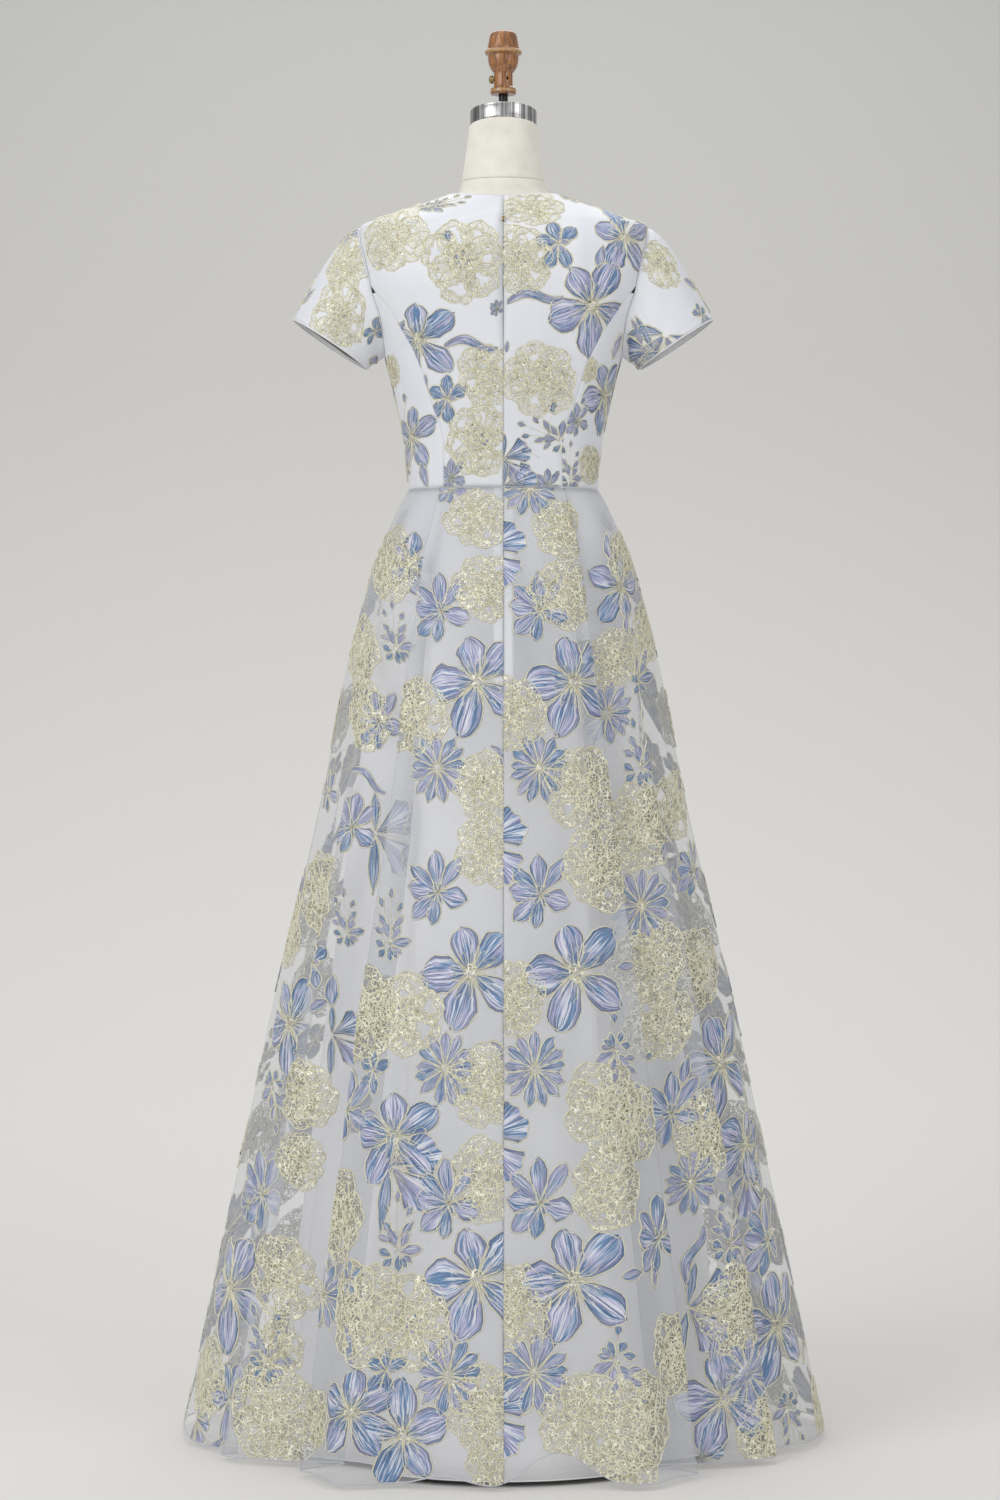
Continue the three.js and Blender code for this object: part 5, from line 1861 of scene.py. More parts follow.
# Each piece's motifs: kind, x and z in millimetres (a sleeve's turn and share), size and turn
PLACES: dict[str, tuple[tuple, ...]] = {
    "bodice_back_left": (
        (G, -80, 1483, 0.86, 60), (B, -68, 1439, 1.15, -20), (P, -133, 1441, 1.14), (V, -49, 1411, 1.28),
        (S, -8, 1352, 0.23), (L, -103, 1317, 0.85, 8), (S, -129, 1321, 0.48), (W, -40, 1308, 1, 8),
        (P, -20, 1272, 0.96), (M, -69, 1247, 1.1, 10), (E, -98, 1263, 0.84, 10), (V, -28, 1197, 1.05),
        (S, -63, 1152, 0.48), (M, -81, 1483, 0.48),
    ),
    "bodice_side_back_left": (
        (L, -111, 1204, 0.67, 20), (E, -97, 1156, 0.96, -25), (P, -135, 1284, 0.48), (S, -117, 1165, 0.34),
        (B, -120, 1249, 0.8),
    ),
    "bodice_back_right": (
        (P, 36, 1476, 0.94, 90), (V, 20, 1412, 1.04), (M, 67, 1431, 1.2, -8), (L, 146, 1442, 0.76, -60),
        (E, 116, 1415, 0.94, 4), (S, 83, 1494, 0.46, 70), (L, 107, 1358, 0.97, -18), (W, 39, 1364, 1.05),
        (P, 45, 1269, 1.14, 90), (B, 60, 1234, 0.98), (G, 60, 1201, 0.83, -70), (F, -2, 1174, 0.6),
        (B, 28, 1184, 0.69, -80), (F, 1, 1141, 0.71), (S, 55, 1141, 0.46), (E, 5, 1307, 0.42),
    ),
    "bodice_side_back_right": (
        (L, 123, 1254, 0.71, -10), (G, 81, 1160, 0.69), (P, 106, 1171, 0.6), (E, 137, 1312, 1.08, 18),
        (P, 102, 1284, 0.41, 20), (S, 90, 1220, 0.46), (B, 96, 1244, 0.69, 30),
    ),
    "skirt_back_left": (
        (S, -63, 1138, 0.55), (P, -33, 1102, 1.03), (P, -20, 1016, 1.08), (S, -74, 989),
        (L, -32, 906, 1.02), (D, -78, 805), (V, -106, 866, 1.17), (P, -19, 784, 1.08),
        (W, -6, 818, 0.5, 60), (P, -19, 710, 1.08),
        (S, -77, 661), (L, -38, 570, 1.02), (F, -151, 728), (G, -133, 613), (V, -115, 524, 1.21),
        (P, -164, 521, 1.35), (D, -68, 462), (M, -150, 457, 1, 10), (P, -18, 444, 1.13),
        (P, -19, 339, 1.19), (W, -6, 481, 0.45, 60), (S, -62, 312, 1.05), (L, -31, 230, 1.07),
        (F, -131, 353, 1.05), (G, -121, 270, 1.05), (V, -102, 179, 1.3), (P, -157, 189, 1.46),
        (D, -62, 124, 1.08), (M, -133, 129, 1.05, 10), (P, -18, 87, 1.24), (P, -10, 28, 0.86),
        (L, -112, 57, 0.94, 160), (E, -139, 69, 0.8, 75), (L, -172, 85, 0.88, 20), (W, -178, 156, 0.9, 70),
        (P, -187, 293, 1.3), (M, -174, 228, 0.8), (D, -207, 203, 0.95), (P, -138, 1048, 1.19),
        (L, -114, 1049, 0.63, -30), (G, -129, 957, 0.9), (P, -169, 944, 1.13), (V, -170, 870, 1.08),
        (S, -147, 858, 0.85), (W, -161, 790, 0.8, 40), (S, -211, 774, 0.6), (S, -178, 734, 0.9, 20),
        (V, -215, 654, 1.3), (P, -255, 609, 1.08), (G, -186, 620, 0.8), (M, -226, 575, 1.15),
        (L, -255, 501, 0.97, -10), (E, -219, 527, 0.9, 60), (E, -203, 542, 1.2), (F, -201, 493, 0.7),
        (G, -270, 413, 1.05, 160), (P, -231, 423, 1.03), (S, -181, 410, 1, 10), (E, -156, 409, 0.85, 75),
        (L, -126, 386, 0.92, 10), (S, -285, 299, 1.1), (L, -323, 188, 1.12, -12), (E, -301, 233, 1, 35),
        (V, -254, 215, 1.19), (G, -275, 130, 1.2), (P, -265, 58, 1.51), (S, -321, 64, 1.05, 160),
        (P, -354, 80, 1.19), (F, -364, 31, 0.5, 20), (W, -337, 6, 0.7, -50), (V, -258, 137, 0.76),
        (S, -302, 286, 0.5), (P, -213, 66, 0.76), (P, -237, 348, 0.86),
    ),
    "skirt_back_right": (
        (D, 32, 1139, 0.95), (F, -30, 1063, 0.98), (S, 45, 990), (L, 84, 906, 1.02), (D, 43, 805),
        (P, 75, 1090, 1.13), (P, 74, 1013, 1.13), (P, 12, 869, 1.08), (P, 96, 779, 1.21),
        (P, 115, 692, 1.3),
        (D, 122, 869, 0.9), (F, -31, 720), (S, 44, 658), (L, 84, 570, 1.05), (E, 142, 576, 0.8, 80),
        (D, 37, 462, 1.03), (P, 11, 540, 1.13), (G, 135, 470, 1.05, 160), (B, 128, 516, 0.8),
        (B, 169, 469, 0.7, 80), (P, 115, 421, 1.3), (V, 147, 402, 1.19), (F, -29, 385), (S, 42, 312, 1.05),
        (L, 81, 227, 1.1), (E, 146, 234, 0.95, 75), (D, 35, 127, 1.1), (P, 11, 200, 1.19), (F, -29, 86),
        (P, 120, 327, 1.19), (S, 178, 267, 1.05), (E, 172, 227, 0.8, 170), (G, 132, 129, 1.1, 160),
        (B, 129, 172, 0.85), (B, 173, 131, 0.8, 70), (P, 90, 77, 1.3), (P, 154, 78, 1.3),
        (P, 136, 25, 0.97, 90), (P, 197, 141, 1.19), (F, 225, 13, 0.5), (L, 141, 1021, 0.8, 165),
        (E, 148, 977), (P, 131, 935, 0.92), (G, 161, 924, 1.15), (G, 162, 818, 1.1), (P, 145, 1060, 0.86),
        (P, 173, 968, 0.97), (E, 127, 1067, 1.2, -20), (E, 138, 853, 0.7, -20), (P, 159, 736, 1.3),
        (V, 205, 759, 1.08), (E, 191, 704, 0.95), (E, 203, 674, 0.7, -30), (S, 228, 680, 0.8),
        (D, 161, 643, 1.05), (P, 171, 581, 1.24), (P, 182, 506, 1.19), (P, 225, 563, 1.3),
        (L, 257, 455, 1.12, -10), (E, 291, 404, 0.95, -15), (E, 210, 451), (S, 195, 402),
        (P, 237, 378, 1.19), (L, 286, 359, 0.82, 30), (D, 218, 323, 0.9), (W, 222, 240, 1.1, -75),
        (F, 212, 182, 1.05), (L, 254, 79, 1.02), (G, 263, 264, 1.1), (P, 267, 180, 1.24), (E, 241, 134),
        (F, 286, 326, 0.9, 30), (S, 313, 244, 1.1), (L, 323, 148, 1.14), (D, 282, 104, 1.05),
        (P, 310, 42, 1.19, 90), (G, 337, 43, 0.9, 160), (P, 379, 34, 0.97), (E, 359, 105, 0.9, 20),
        (G, 229, 394, 0.7),
    ),
    "sleeve_left": (
        (P, 46, 0.2, 0.9), (V, 84, 0.63, 1.0), (M, 130, 0.17, 0.65), (E, 165, 0.53, 0.85, 70),
        (S, 9, 0.1, 0.5), (E, 20, 0.75, 0.8, 20), (L, -80, 0.5, 0.8), (P, -20, 0.75, 0.8),
        (M, -130, 0.5, 0.8),
    ),
    "sleeve_right": (
        (V, 46, 0.2, 0.8), (E, 125, 0.37, 0.9, -35), (F, 100, 0.8, 1.2, 30), (F, 125, 0.93, 0.85, -20),
        (F, 149, 0.73, 0.55, 60), (M, 41, 0.9, 0.6), (E, 22, 0.6, 0.85, 30), (L, -80, 0.5, 0.8),
        (P, -20, 0.75, 0.8), (M, -130, 0.5, 0.8),
    ),
}

# The brocade's repeat, for the sides that the photo doesn't show: across and up from its corner
TILE = (
    (L, 32, 0), (P, 18, -122), (P, 20, -196), (S, 72, 84), (D, 75, -102), (F, 135, 123), (G, 130, 43),
    (V, 112, -46), (P, 160, -49), (M, 152, -113), (E, 178, -60),
)
TILE_SIZE = (196.0, 338.0)


def tiled(surface: Surface, start: float, end: float, low: float, high: float) -> list[Spot]:
    """Spread the brocade's repeat over a hidden stretch of cloth.

    Args:
        surface: The face that it lies on.
        start: The angle where it starts.
        end: The angle where it ends, on either side.
        low: The lowest height.
        high: The highest height.

    Returns:
        The motifs, each with its angle.
    """
    made = []
    way = 1 if end > start else -1
    for i, j in np.ndindex(5, 6):
        for kind, across, up in TILE:
            z = high - 60 - TILE_SIZE[1] * (j - 0.5 * (i % 2)) + up
            if not low - 20 < z < high + 20:
                continue
            level = float(np.clip(z, surface.low, surface.high))
            first, last = (surface.arc_of(angle, level) for angle in (start, end))
            arc = first + way * (across + TILE_SIZE[0] * i)
            if way * (last - arc) > -15:
                angle = float(surface.angle_at(np.array([arc]), np.array([level]))[0])
                made.append(Spot(kind, 0.0, level, 1.0, 7.0 * (i - j), angle))
    return made


# Dress form


@dataclass
class DressForm:
    """The canvas torso and neck, the steel band, and the turned finial with its screw."""

    finishes: Finishes
    steps: int = 120
    clearance: float = 2.8
    shoulder_clearance: float = 0.7
    wall: float = 2.0
    neck_top: float = 1586.0
    tilt_start: float = 1533.0
    band_height: float = 19.0
    band_tilt: float = math.tan(math.radians(9))
    forward: float = 8.0
    stem_radius: float = 5.65
    stem_top: float = 1649.0
    bore_gap: float = 0.35
    screw_height: float = 1645.0
    screw_shank: float = 2.0
    screw_head: float = 5.0
    screw_gap: float = 0.5
    screw_length: float = 5.5
    screw_slot: tuple[float, float, float] = (6.0, 0.55, 0.8)
    neck_radius: float = 11.5
    pin_angle: float = 29.0
    pin_radius: float = 1.85
    # Height, half width, depth to the back and to the front, and the section's power
    below: tuple[tuple[float, ...], ...] = (
        (870, 148, 131, 134, 2.1), (930, 149, 132, 136, 2.1), (990, 143, 122, 129, 2.2),
        (1050, 130, 104, 113, 2.25), (1100, 115, 83, 95, 2.3), (1141, 107, 72, 85, 2.3),
    )
    # Height, half width, depth to the back and to the front, and the shift forward
    neck: tuple[tuple[float, ...], ...] = (
        (1501, 57, 47, 49, 0), (1509, 52.5, 46, 46.5, 1), (1518, 50.6, 45, 44.5, 2),
        (1533, 48.5, 44.5, 43.5, 3.5), (1564, 44.4, 43, 42.5, 6.5), (1586, 42, 42, 42, 8),
    )
    # Radius and height
    band_profile: tuple[tuple[float, float], ...] = (
        (38.6, 0.0), (39.6, 0.15), (40.5, 0.6), (40.9, 1.3), (41.0, 2.2), (40.75, 3.2), (40.75, 15.8),
        (41.0, 16.8), (40.9, 17.7), (40.5, 18.4), (39.6, 18.85), (38.6, 19.0),
    )
    finial_profile: tuple[tuple[float, float], ...] = (
        (0.01, 1626.6), (13.6, 1626.6), (15.2, 1627.0), (15.7, 1628.4), (15.7, 1632.3), (15.2, 1633.8),
        (13.6, 1635.0), (12.1, 1636.3), (11.6, 1638.0), (11.5, 1640.5), (11.5, 1651.0), (12.1, 1653.2),
        (13.9, 1655.5), (16.0, 1658.9), (17.5, 1662.6), (18.4, 1666.8), (18.75, 1671.0), (18.7, 1673.6),
        (19.9, 1674.7), (21.9, 1675.7), (22.7, 1677.2), (22.7, 1678.6), (21.9, 1679.9), (20.1, 1681.2),
        (19.4, 1683.0), (18.4, 1688.5), (17.4, 1693.5), (16.4, 1698.2), (14.6, 1701.6), (11.2, 1703.3),
        (6.0, 1703.9), (0.01, 1704.0),
    )

    def ring_angles(self) -> Array:
        """The angles of a ring's points, from the centre back round the right side."""
        degrees = np.arange(self.steps) * 360 / self.steps
        return np.where(degrees > 180, degrees - 360, degrees)

    def neck_ring(self, z: float, fall: float = 0.0) -> Array:
        """A ring of the neck, whose plane may fall toward the front.

        Args:
            z: The ring's height at the axis.
            fall: How far its plane falls toward the front.

        Returns:
            The ring's points.
        """
        heights, *columns = zip(*self.neck)
        half, back, front, forward = (Curve(heights, column).at(z) for column in columns)
        turn = np.radians(self.ring_angles())
        y = -np.where(np.cos(turn) >= 0, back, front) * np.cos(turn)
        return np.stack([half * np.sin(turn), y + forward, z - y * fall], axis=-1)

    def round_ring(self, radius: float, height: float, fall: float | None = None) -> Array:
        """A round ring about the finial's axis, parallel to the band unless its fall is given.

        Args:
            radius: The ring's radius.
            height: Its height over the band.
            fall: Its plane's fall, or none for the band's.

        Returns:
            The ring's points.
        """
        turn = np.radians(self.ring_angles())
        y = -radius * np.cos(turn)
        tilt = self.band_tilt if fall is None else fall
        return np.stack([radius * np.sin(turn), y + self.forward, height - y * tilt], axis=-1)

    def torso_rings(self) -> Array:
        """The torso's rings, inside the bodice and down to the hips.

        Returns:
            The rings, from the hips up.
        """
        degrees = self.ring_angles()
        heights, *columns = zip(*self.below)
        hips = Surface(*(Curve(heights, column) for column in columns))
        rings = [hips.section(degrees, np.full(len(degrees), z)) for z in even(870, WAIST, 12)]
        plain = Surface(BODICE.half, BODICE.back, BODICE.front, BODICE.power, low=WAIST, high=NECK_POINT)
        for level in bodice_levels():
            if not WAIST < level < NECK_POINT - 2:
                continue
            ridge = smoothstep(level, SHOULDER_TIP - 6, SHOULDER_TIP)
            ridge = ridge * np.sin(np.radians(np.abs(degrees))) ** 30
            clearance = self.clearance + (self.shoulder_clearance - self.clearance) * ridge
            neck = NECK_BACK.at(np.minimum(np.abs(degrees), 180 - np.abs(degrees)))
            z = bodice_height(np.full(len(degrees), level), neck)
            inward = (self.wall + clearance)[:, None] * plain.normals(degrees, z)
            rings.append(plain.points(degrees, z) - inward)
        return np.array([*rings, *(self.neck_ring(z) for z in (1501, 1505, 1509, 1513, 1516.4, 1517.6))])

    def seamed(self, rings: Array, depth: float) -> Array:
        """Press the upright canvas seams into rings of points.

        Args:
            rings: The rings to press.
            depth: The seam's depth.

        Returns:
            The pressed rings.
        """
        near = sum(np.exp(-(((self.ring_angles() - seam) / 1.6) ** 2)) for seam in (0, -90, 90))
        out = rings - rings.mean(axis=1, keepdims=True)
        out[..., 2] = 0
        out /= np.maximum(np.linalg.norm(out, axis=-1, keepdims=True), 1e-6)
        return rings - out * (depth * near)[None, :, None]

    def torso(self) -> Object:
        """Make the torso, padded tight under its canvas."""
        return capped(self.seamed(self.torso_rings(), 0.5)).piece("padded_torso", [self.finishes.canvas])

    def padded_neck(self) -> Object:
        """Make the canvas neck, up to the tilted plane under the band.

        Returns:
            The neck.
        """
        rings = []
        for z in (1518.3, 1519.4, 1522, 1527, 1533, 1541, 1549, 1557, 1564, 1572, 1579, 1583, 1585, 1586):
            tilted = max(0.0, (z - self.tilt_start) / (self.neck_top - self.tilt_start))
            rings.append(self.neck_ring(z, self.band_tilt * tilted))
        rings = self.seamed(np.array(rings), 0.45)
        for row, shrink in ((0, 0.988), (-1, 0.985)):
            centre = rings[row].mean(axis=0)
            rings[row] = centre + (rings[row] - centre) * np.array([shrink, shrink, 1])
        return capped(rings).piece("padded_neck", [self.finishes.canvas])

    def band(self) -> Object:
        """Make the steel band round the top of the neck, with its rolled rims.

        Returns:
            The band.
        """
        base = self.neck_top + SEAM_GAP
        rings = np.array([self.round_ring(radius, base + height) for radius, height in self.band_profile])
        return capped(rings).piece("steel_neck_band", [self.finishes.steel])

    def stem(self) -> Object:
        """Make the black stem between the band and the finial.

        Returns:
            The stem.
        """
        base, radius = self.neck_top + self.band_height + 2 * SEAM_GAP, self.stem_radius
        low = [self.round_ring(radius, base), self.round_ring(radius, base + 0.5)]
        # The bottom ring is chamfered in the band's own plane
        low[0][:, :2] = (low[0][:, :2] - (0, self.forward)) * 0.93 + (0, self.forward)
        high = [self.round_ring(radius, z, 0.0) for z in (1620, self.stem_top)]
        return capped(np.array([*low, *high])).piece("finial_stem_rod", [self.finishes.black])

    def finial(self) -> Object:
        """Make the turned finial, bored for the stem, the screw and a pin.

        Returns:
            The finial.
        """
        piece = lathe(rounded(self.finial_profile, 4), 96, self.forward).piece(
            "turned_finial", [self.finishes.wood]
        )
        axis = Vector((0, self.forward, 0))
        bored = axis + Vector((0, 0, self.screw_height))
        turn = math.radians(self.pin_angle)
        up, screw = Vector((0, 0, 1)), Vector((-1, 0, 0))
        pin = Vector((math.sin(turn), -math.cos(turn), 0))
        for radius, length, middle, direction in (
            (self.stem_radius + self.bore_gap, 48.0, axis + up * 1626, up),
            (self.screw_shank + self.bore_gap, 20.0, bored + screw * 10, screw),
            (self.pin_radius, 20.0, bored + pin * 10, pin),
        ):
            hole = lathe([(radius, -length / 2), (radius, length / 2)], 48)
            tool = hole.piece("hole_tool", list(piece.data.materials))
            stand_along(tool, middle, direction)
            subtract(piece, tool)
        return piece

    def screw(self) -> Object:
        """Make the screw: a rounded head with a slot, and a threaded shank.

        Returns:
            The screw.
        """
        tip, head = self.stem_radius + SEAM_GAP, self.neck_radius + self.screw_gap
        shank, size, length = self.screw_shank, self.screw_head, self.screw_length
        heights = tip + 0.2 + (head - tip - 0.6) * np.arange(14) / 13
        ridges = [(shank * (0.86 if i % 2 else 1.0), z) for i, z in enumerate(heights)]
        dome = [
            (size * math.cos(a) ** 0.7, head + length * (0.55 + 0.45 * math.sin(a)))
            for a in np.radians(np.linspace(0, 82, 9))
        ]
        rim = ((size * 0.9, head), (size, head + length * 0.1), (size, head + length * 0.5))
        profile = [(shank * 0.7, tip), *ridges, (shank, head), *rim, *dome]
        piece = lathe(profile, 48).piece("finial_grub_screw", [self.finishes.brass])
        box = np.array([[x, y, z] for z in (-1, 1) for y in (-1, 1) for x in (-1, 1)]) * self.screw_slot
        box[:, 2] += head + length
        sides = [[0, 2, 3, 1], [4, 5, 7, 6], [0, 1, 5, 4], [2, 6, 7, 3], [0, 4, 6, 2], [1, 3, 7, 5]]
        slot = Bag()
        slot.add(box, np.array(sides))
        subtract(piece, slot.piece("slot_tool", [self.finishes.brass]))
        stand_along(piece, Vector((0, self.forward, self.screw_height)), Vector((-1, 0, 0)))
        return piece

    def build(self) -> None:
        """Build the form above its stand and let each piece stand for its node."""
        for make, body, node, slot in (
            (self.torso, BODY, "form_torso", "canvas"),
            (self.padded_neck, BODY, "form_neck", "canvas"),
            (self.band, BODY, "neck_band", "steel"),
            (self.stem, BODY, "finial_stem", "black_steel"),
            (self.finial, BODY, "finial", "wood"),
            (self.screw, SCREW_BODY, "finial_screw", "steel"),
        ):
            piece = keep(make(), body, node, slot)


def keep(piece: Object, body: str, node: str | None, slot: str) -> Object:
    """Let a finished piece ride on its body and stand for its node.

    Args:
        piece: The piece.
        body: The body that it moves with.
        node: The node that it replaces, if any.
        slot: The material slot; not used.

    Returns:
        The piece.
    """
    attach(piece, body)
    if node:
        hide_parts(node)
    LOG.info("%s: %d faces", piece.name, len(piece.data.polygons))
    return piece


@dataclass
class Stand:
    """The pole and the round foot, turned steel under black enamel, hidden by the skirt."""

    pole_radius: float = 12.5
    pole_top: float = 869.7
    foot_radius: float = 180.0
    foot_height: float = 12.0

    def build(self, finishes: Finishes) -> None:
        """Build both pieces, the pole with chamfered ends and the foot with a rounded rim.

        Args:
            finishes: The finishes by their kind.
        """
        bottom, top, radius = self.foot_height + SEAM_GAP, self.pole_top, self.pole_radius
        lower = [(0.01, bottom), (radius - 0.4, bottom), (radius, bottom + 0.4)]
        pole = [*lower, (radius, top - 0.4), (radius - 0.4, top), (0.01, top)]
        edge = [
            (self.foot_radius - 4 + 4 * math.sin(a), self.foot_height - 4 + 4 * math.cos(a))
            for a in np.radians(np.linspace(90, 0, 8))
        ]
        flat = [(0.01, 0.0), (self.foot_radius - 1, 0.0), (self.foot_radius, 1.0)]
        foot = [*flat, *edge, (0.01, self.foot_height)]
        for part, profile, steps in (("pole", pole, 48), ("foot", foot, 144)):
            piece = lathe(profile, steps).piece(f"steel_{part}", [finishes.black])
            keep(piece, BODY, f"stand_{part}", "black_steel")


# Dress


@dataclass
class Brocade:
    """The motifs of every cloth piece, each piece's own cut off at its seams."""

    needle: Needle = field(default_factory=Needle)
    coarse: Needle = field(default_factory=lambda: Needle(seed=11, coarse=True))

    def edges_of(self, node: str) -> Callable[[Array, Array], Places]:
        """The function that gives a panel's first and last angle at each place.

        Args:
            node: The panel's node name.

        Returns:
            The function of heights and angles.
        """

        def edges(degrees: Array, z: Array) -> Places:
            """The panel's side seams at these heights, on the side that the name gives.

            Args:
                degrees: Angles round the body.
                z: Heights.

            Returns:
                The first and the last angle.
            """
            zero = 0 * degrees
            if "front" in node:
                low = armhole(ARMHOLE_FRONT, z) if node.startswith("bodice") else 90 + zero
                high = 180 + zero
            elif "side" in node:
                low, high = back_edge(z), armhole(ARMHOLE_BACK, z)
            elif node.startswith("bodice"):
                low, high = zero, back_edge(bodice_level(z, NECK_BACK.at(np.abs(degrees))))
            else:
                low, high = zero, 90 + zero
            return (-high, -low) if node.endswith("left") else (low, high)

        return edges

    def ends_of(self, node: str) -> Callable[[Array, Array], Places]:
        """The function that gives a panel's lowest and highest place at each angle.

        Args:
            node: The panel's node name.

        Returns:
            The function of heights and angles.
        """

        def ends(degrees: Array, z: Array) -> Places:
            """The hem and the waist seam, or the waist seam and the neckline.

            Args:
                degrees: Angles round the body.
                z: Heights.

            Returns:
                The lowest and the highest place.
            """
            if node.startswith("skirt"):
                return hem_height(degrees) + 1.5, WAIST - 1.5 + 0 * z
            low = WAIST + 1.5 + 0 * z
            if "side" in node:
                return low, PANEL_TIP + 0 * z
            if "front" in node:
                share = (180 - np.abs(degrees)) / np.maximum(180 - armhole(ARMHOLE_FRONT, z), 1)
                return low, NECK_FRONT.at(90 * np.clip(share, 0, 1)) - 2
            share = np.abs(degrees) / np.maximum(back_edge(np.minimum(z, NECK_POINT)), 1)
            return low, NECK_BACK.at(90 * np.clip(share, 0, 1)) - 2

        return ends

    def build(self, node: str, finishes: Finishes) -> list[Object]:
        """Draw a piece's motifs.

        Args:
            node: The piece's node.
            finishes: The materials.

        Returns:
            The objects that lie on the piece.
        """
        if node.startswith("lining"):
            return []
        skirt = node.startswith("skirt")
        if node.startswith("sleeve"):
            sleeve = Sleeve()
            regions = {node: SleeveRegion(side_of(node), sleeve.grid(), sleeve.start_loop()[1])}
        else:
            names = [f"{node}_left", f"{node}_right"] if node == "bodice_front" else [node]
            surface = SKIRT if skirt else BODICE
            regions = {name: Region(surface, self.edges_of(name), self.ends_of(name)) for name in names}
        made = []
        for name, region in regions.items():
            spots, needle = [Spot(*row) for row in PLACES.get(name, ())], self.needle
            if "front" in name:
                side, needle = side_of(name), self.coarse
                low, high = (HEM, WAIST) if skirt else (WAIST, NECK_POINT)
                spots = tiled(region.surface, 180.0 * side, 90.0 * side, low, high)
            piece = embroider(f"{name}_woven_flowers", region, spots, needle, finishes)
            # The wefts are part of the cloth, so they don't darken it, or the lining, from a distance
            piece.visible_shadow = False
            made.append(keep(piece, BODY, None, "organza" if skirt else "bodice_cloth"))
        return made


@dataclass
class PathWork:
    """Sewing that follows a line: Geometry Nodes set small pieces, or a rolled edge, along it."""

    finishes: Finishes

    def run(
        self, name: str, line: Array, closed: bool, material: Material,
        radius: float, length: float = 0.0, spacing: float = 0.0,
    ) -> Object:
        """Make a rolled edge, or stitches where a spacing is given.

        Args:
            name: The object's name.
            line: The points of its path.
            closed: Whether the path's ends meet.
            material: Its material.
            radius: The radius of the roll, or of a stitch.
            length: A stitch's length.
            spacing: How far apart the stitches are.

        Returns:
            The finished mesh, with nothing live left on it.
        """
        count = len(line)
        base = bpy.data.meshes.new(f"{name}_path")
        pairs = [(i, (i + 1) % count) for i in range(count if closed else count - 1)]
        base.from_pydata((line * MM).tolist(), pairs, [])
        carrier = link(f"{name}_path", base)
        tree = self.tree(stitched=spacing > 0)
        modifier = carrier.modifiers.new("sewing", "NODES")
        modifier.node_group = tree
        values = {"Radius": radius * MM, "Length": length * MM, "Spacing": spacing * MM, "Finish": material}
        for item in tree.interface.items_tree:
            if item.name in values and item.in_out == "INPUT":
                modifier[item.identifier] = values[item.name]
        graph = bpy.context.evaluated_depsgraph_get()
        mesh = bpy.data.meshes.new_from_object(carrier.evaluated_get(graph), depsgraph=graph)
        mesh.name = name
        bpy.data.objects.remove(carrier)
        bpy.data.meshes.remove(base)
        bpy.data.node_groups.remove(tree)
        mesh.polygons.foreach_set("use_smooth", np.ones(len(mesh.polygons), bool))
        return link(name, mesh)

    def tree(self, stitched: bool) -> NodeTree:
        """A node tree that turns a mesh path into sewing, realized and in its material.

        Args:
            stitched: Whether small rods are laid along the path, or one roll follows it.

        Returns:
            The tree, with its values as named inputs.
        """
        tree = bpy.data.node_groups.new("stitches" if stitched else "rolled_edge", "GeometryNodeTree")
        tree.interface.new_socket("Geometry", in_out="OUTPUT", socket_type="NodeSocketGeometry")
        measures = [(label, "Float") for label in ("Radius", "Length", "Spacing")]
        for label, kind in (("Path", "Geometry"), *measures, ("Finish", "Material")):
            tree.interface.new_socket(label, in_out="INPUT", socket_type=f"NodeSocket{kind}")
        add = partial(add_node, tree)
        given = add("NodeGroupInput").outputs
        curve = add("GeometryNodeMeshToCurve", {0: given["Path"]})
        if stitched:
            spaced = {0: curve, "Length": given["Spacing"]}
            places = add("GeometryNodeCurveToPoints", spaced, mode="LENGTH").outputs
            ball = add("GeometryNodeMeshUVSphere", {"Segments": 5, "Rings": 3, "Radius": given["Radius"]})
            stretch = add("Math", {0: given["Length"], 1: given["Radius"]}, operation="DIVIDE")
            uneven = add("FunctionNodeRandomValue", {2: 0.42, 3: 0.56, "Seed": 5}, data_type="FLOAT")
            longer = add("Math", {0: stretch, 1: uneven.outputs[1]}, operation="MULTIPLY")
            size = add("CombineXYZ", {0: 1.0, 1: 1.0, 2: longer})
            rods = {0: places["Points"], "Instance": ball, "Rotation": places["Rotation"], "Scale": size}
            made = add("GeometryNodeInstanceOnPoints", rods)
        else:
            ring = add("GeometryNodeCurvePrimitiveCircle", {"Resolution": 6, "Radius": given["Radius"]})
            made = add("GeometryNodeCurveToMesh", {0: curve, 1: ring, "Fill Caps": True})
        real = add("GeometryNodeRealizeInstances", {0: made})
        dressed = add("GeometryNodeSetMaterial", {"Geometry": real, "Material": given["Finish"]})
        add("NodeGroupOutput", {0: dressed})
        return tree

    def seams(self, node: str) -> list[Object]:
        """The white folds of cloth that fill the seams of the bodice and the sleeves.

        Args:
            node: The piece's node.

        Returns:
            Its seams.
        """
        side = side_of(node)
        if node.startswith("sleeve"):
            grid = Sleeve().grid()
            line = (grid[0] - 0.3 * Sleeve.normals(grid)[0]) * np.array([side, 1, 1])
        elif node == "bodice_front":
            line = BODICE.off(np.linspace(0, 360, 181)[:-1], WAIST, -0.85)
        elif "side" in node:
            z = np.linspace(WAIST + 2, PANEL_TIP + 12, 66)
            line = BODICE.off(side * back_edge(z), z, -0.95)
        else:
            return []
        cloth = self.finishes.backed_organza
        piece = self.run(f"{node}_folded_seam", line, "side" not in node, cloth, 0.75)
        return [keep(piece, BODY, None, "bodice_cloth")]

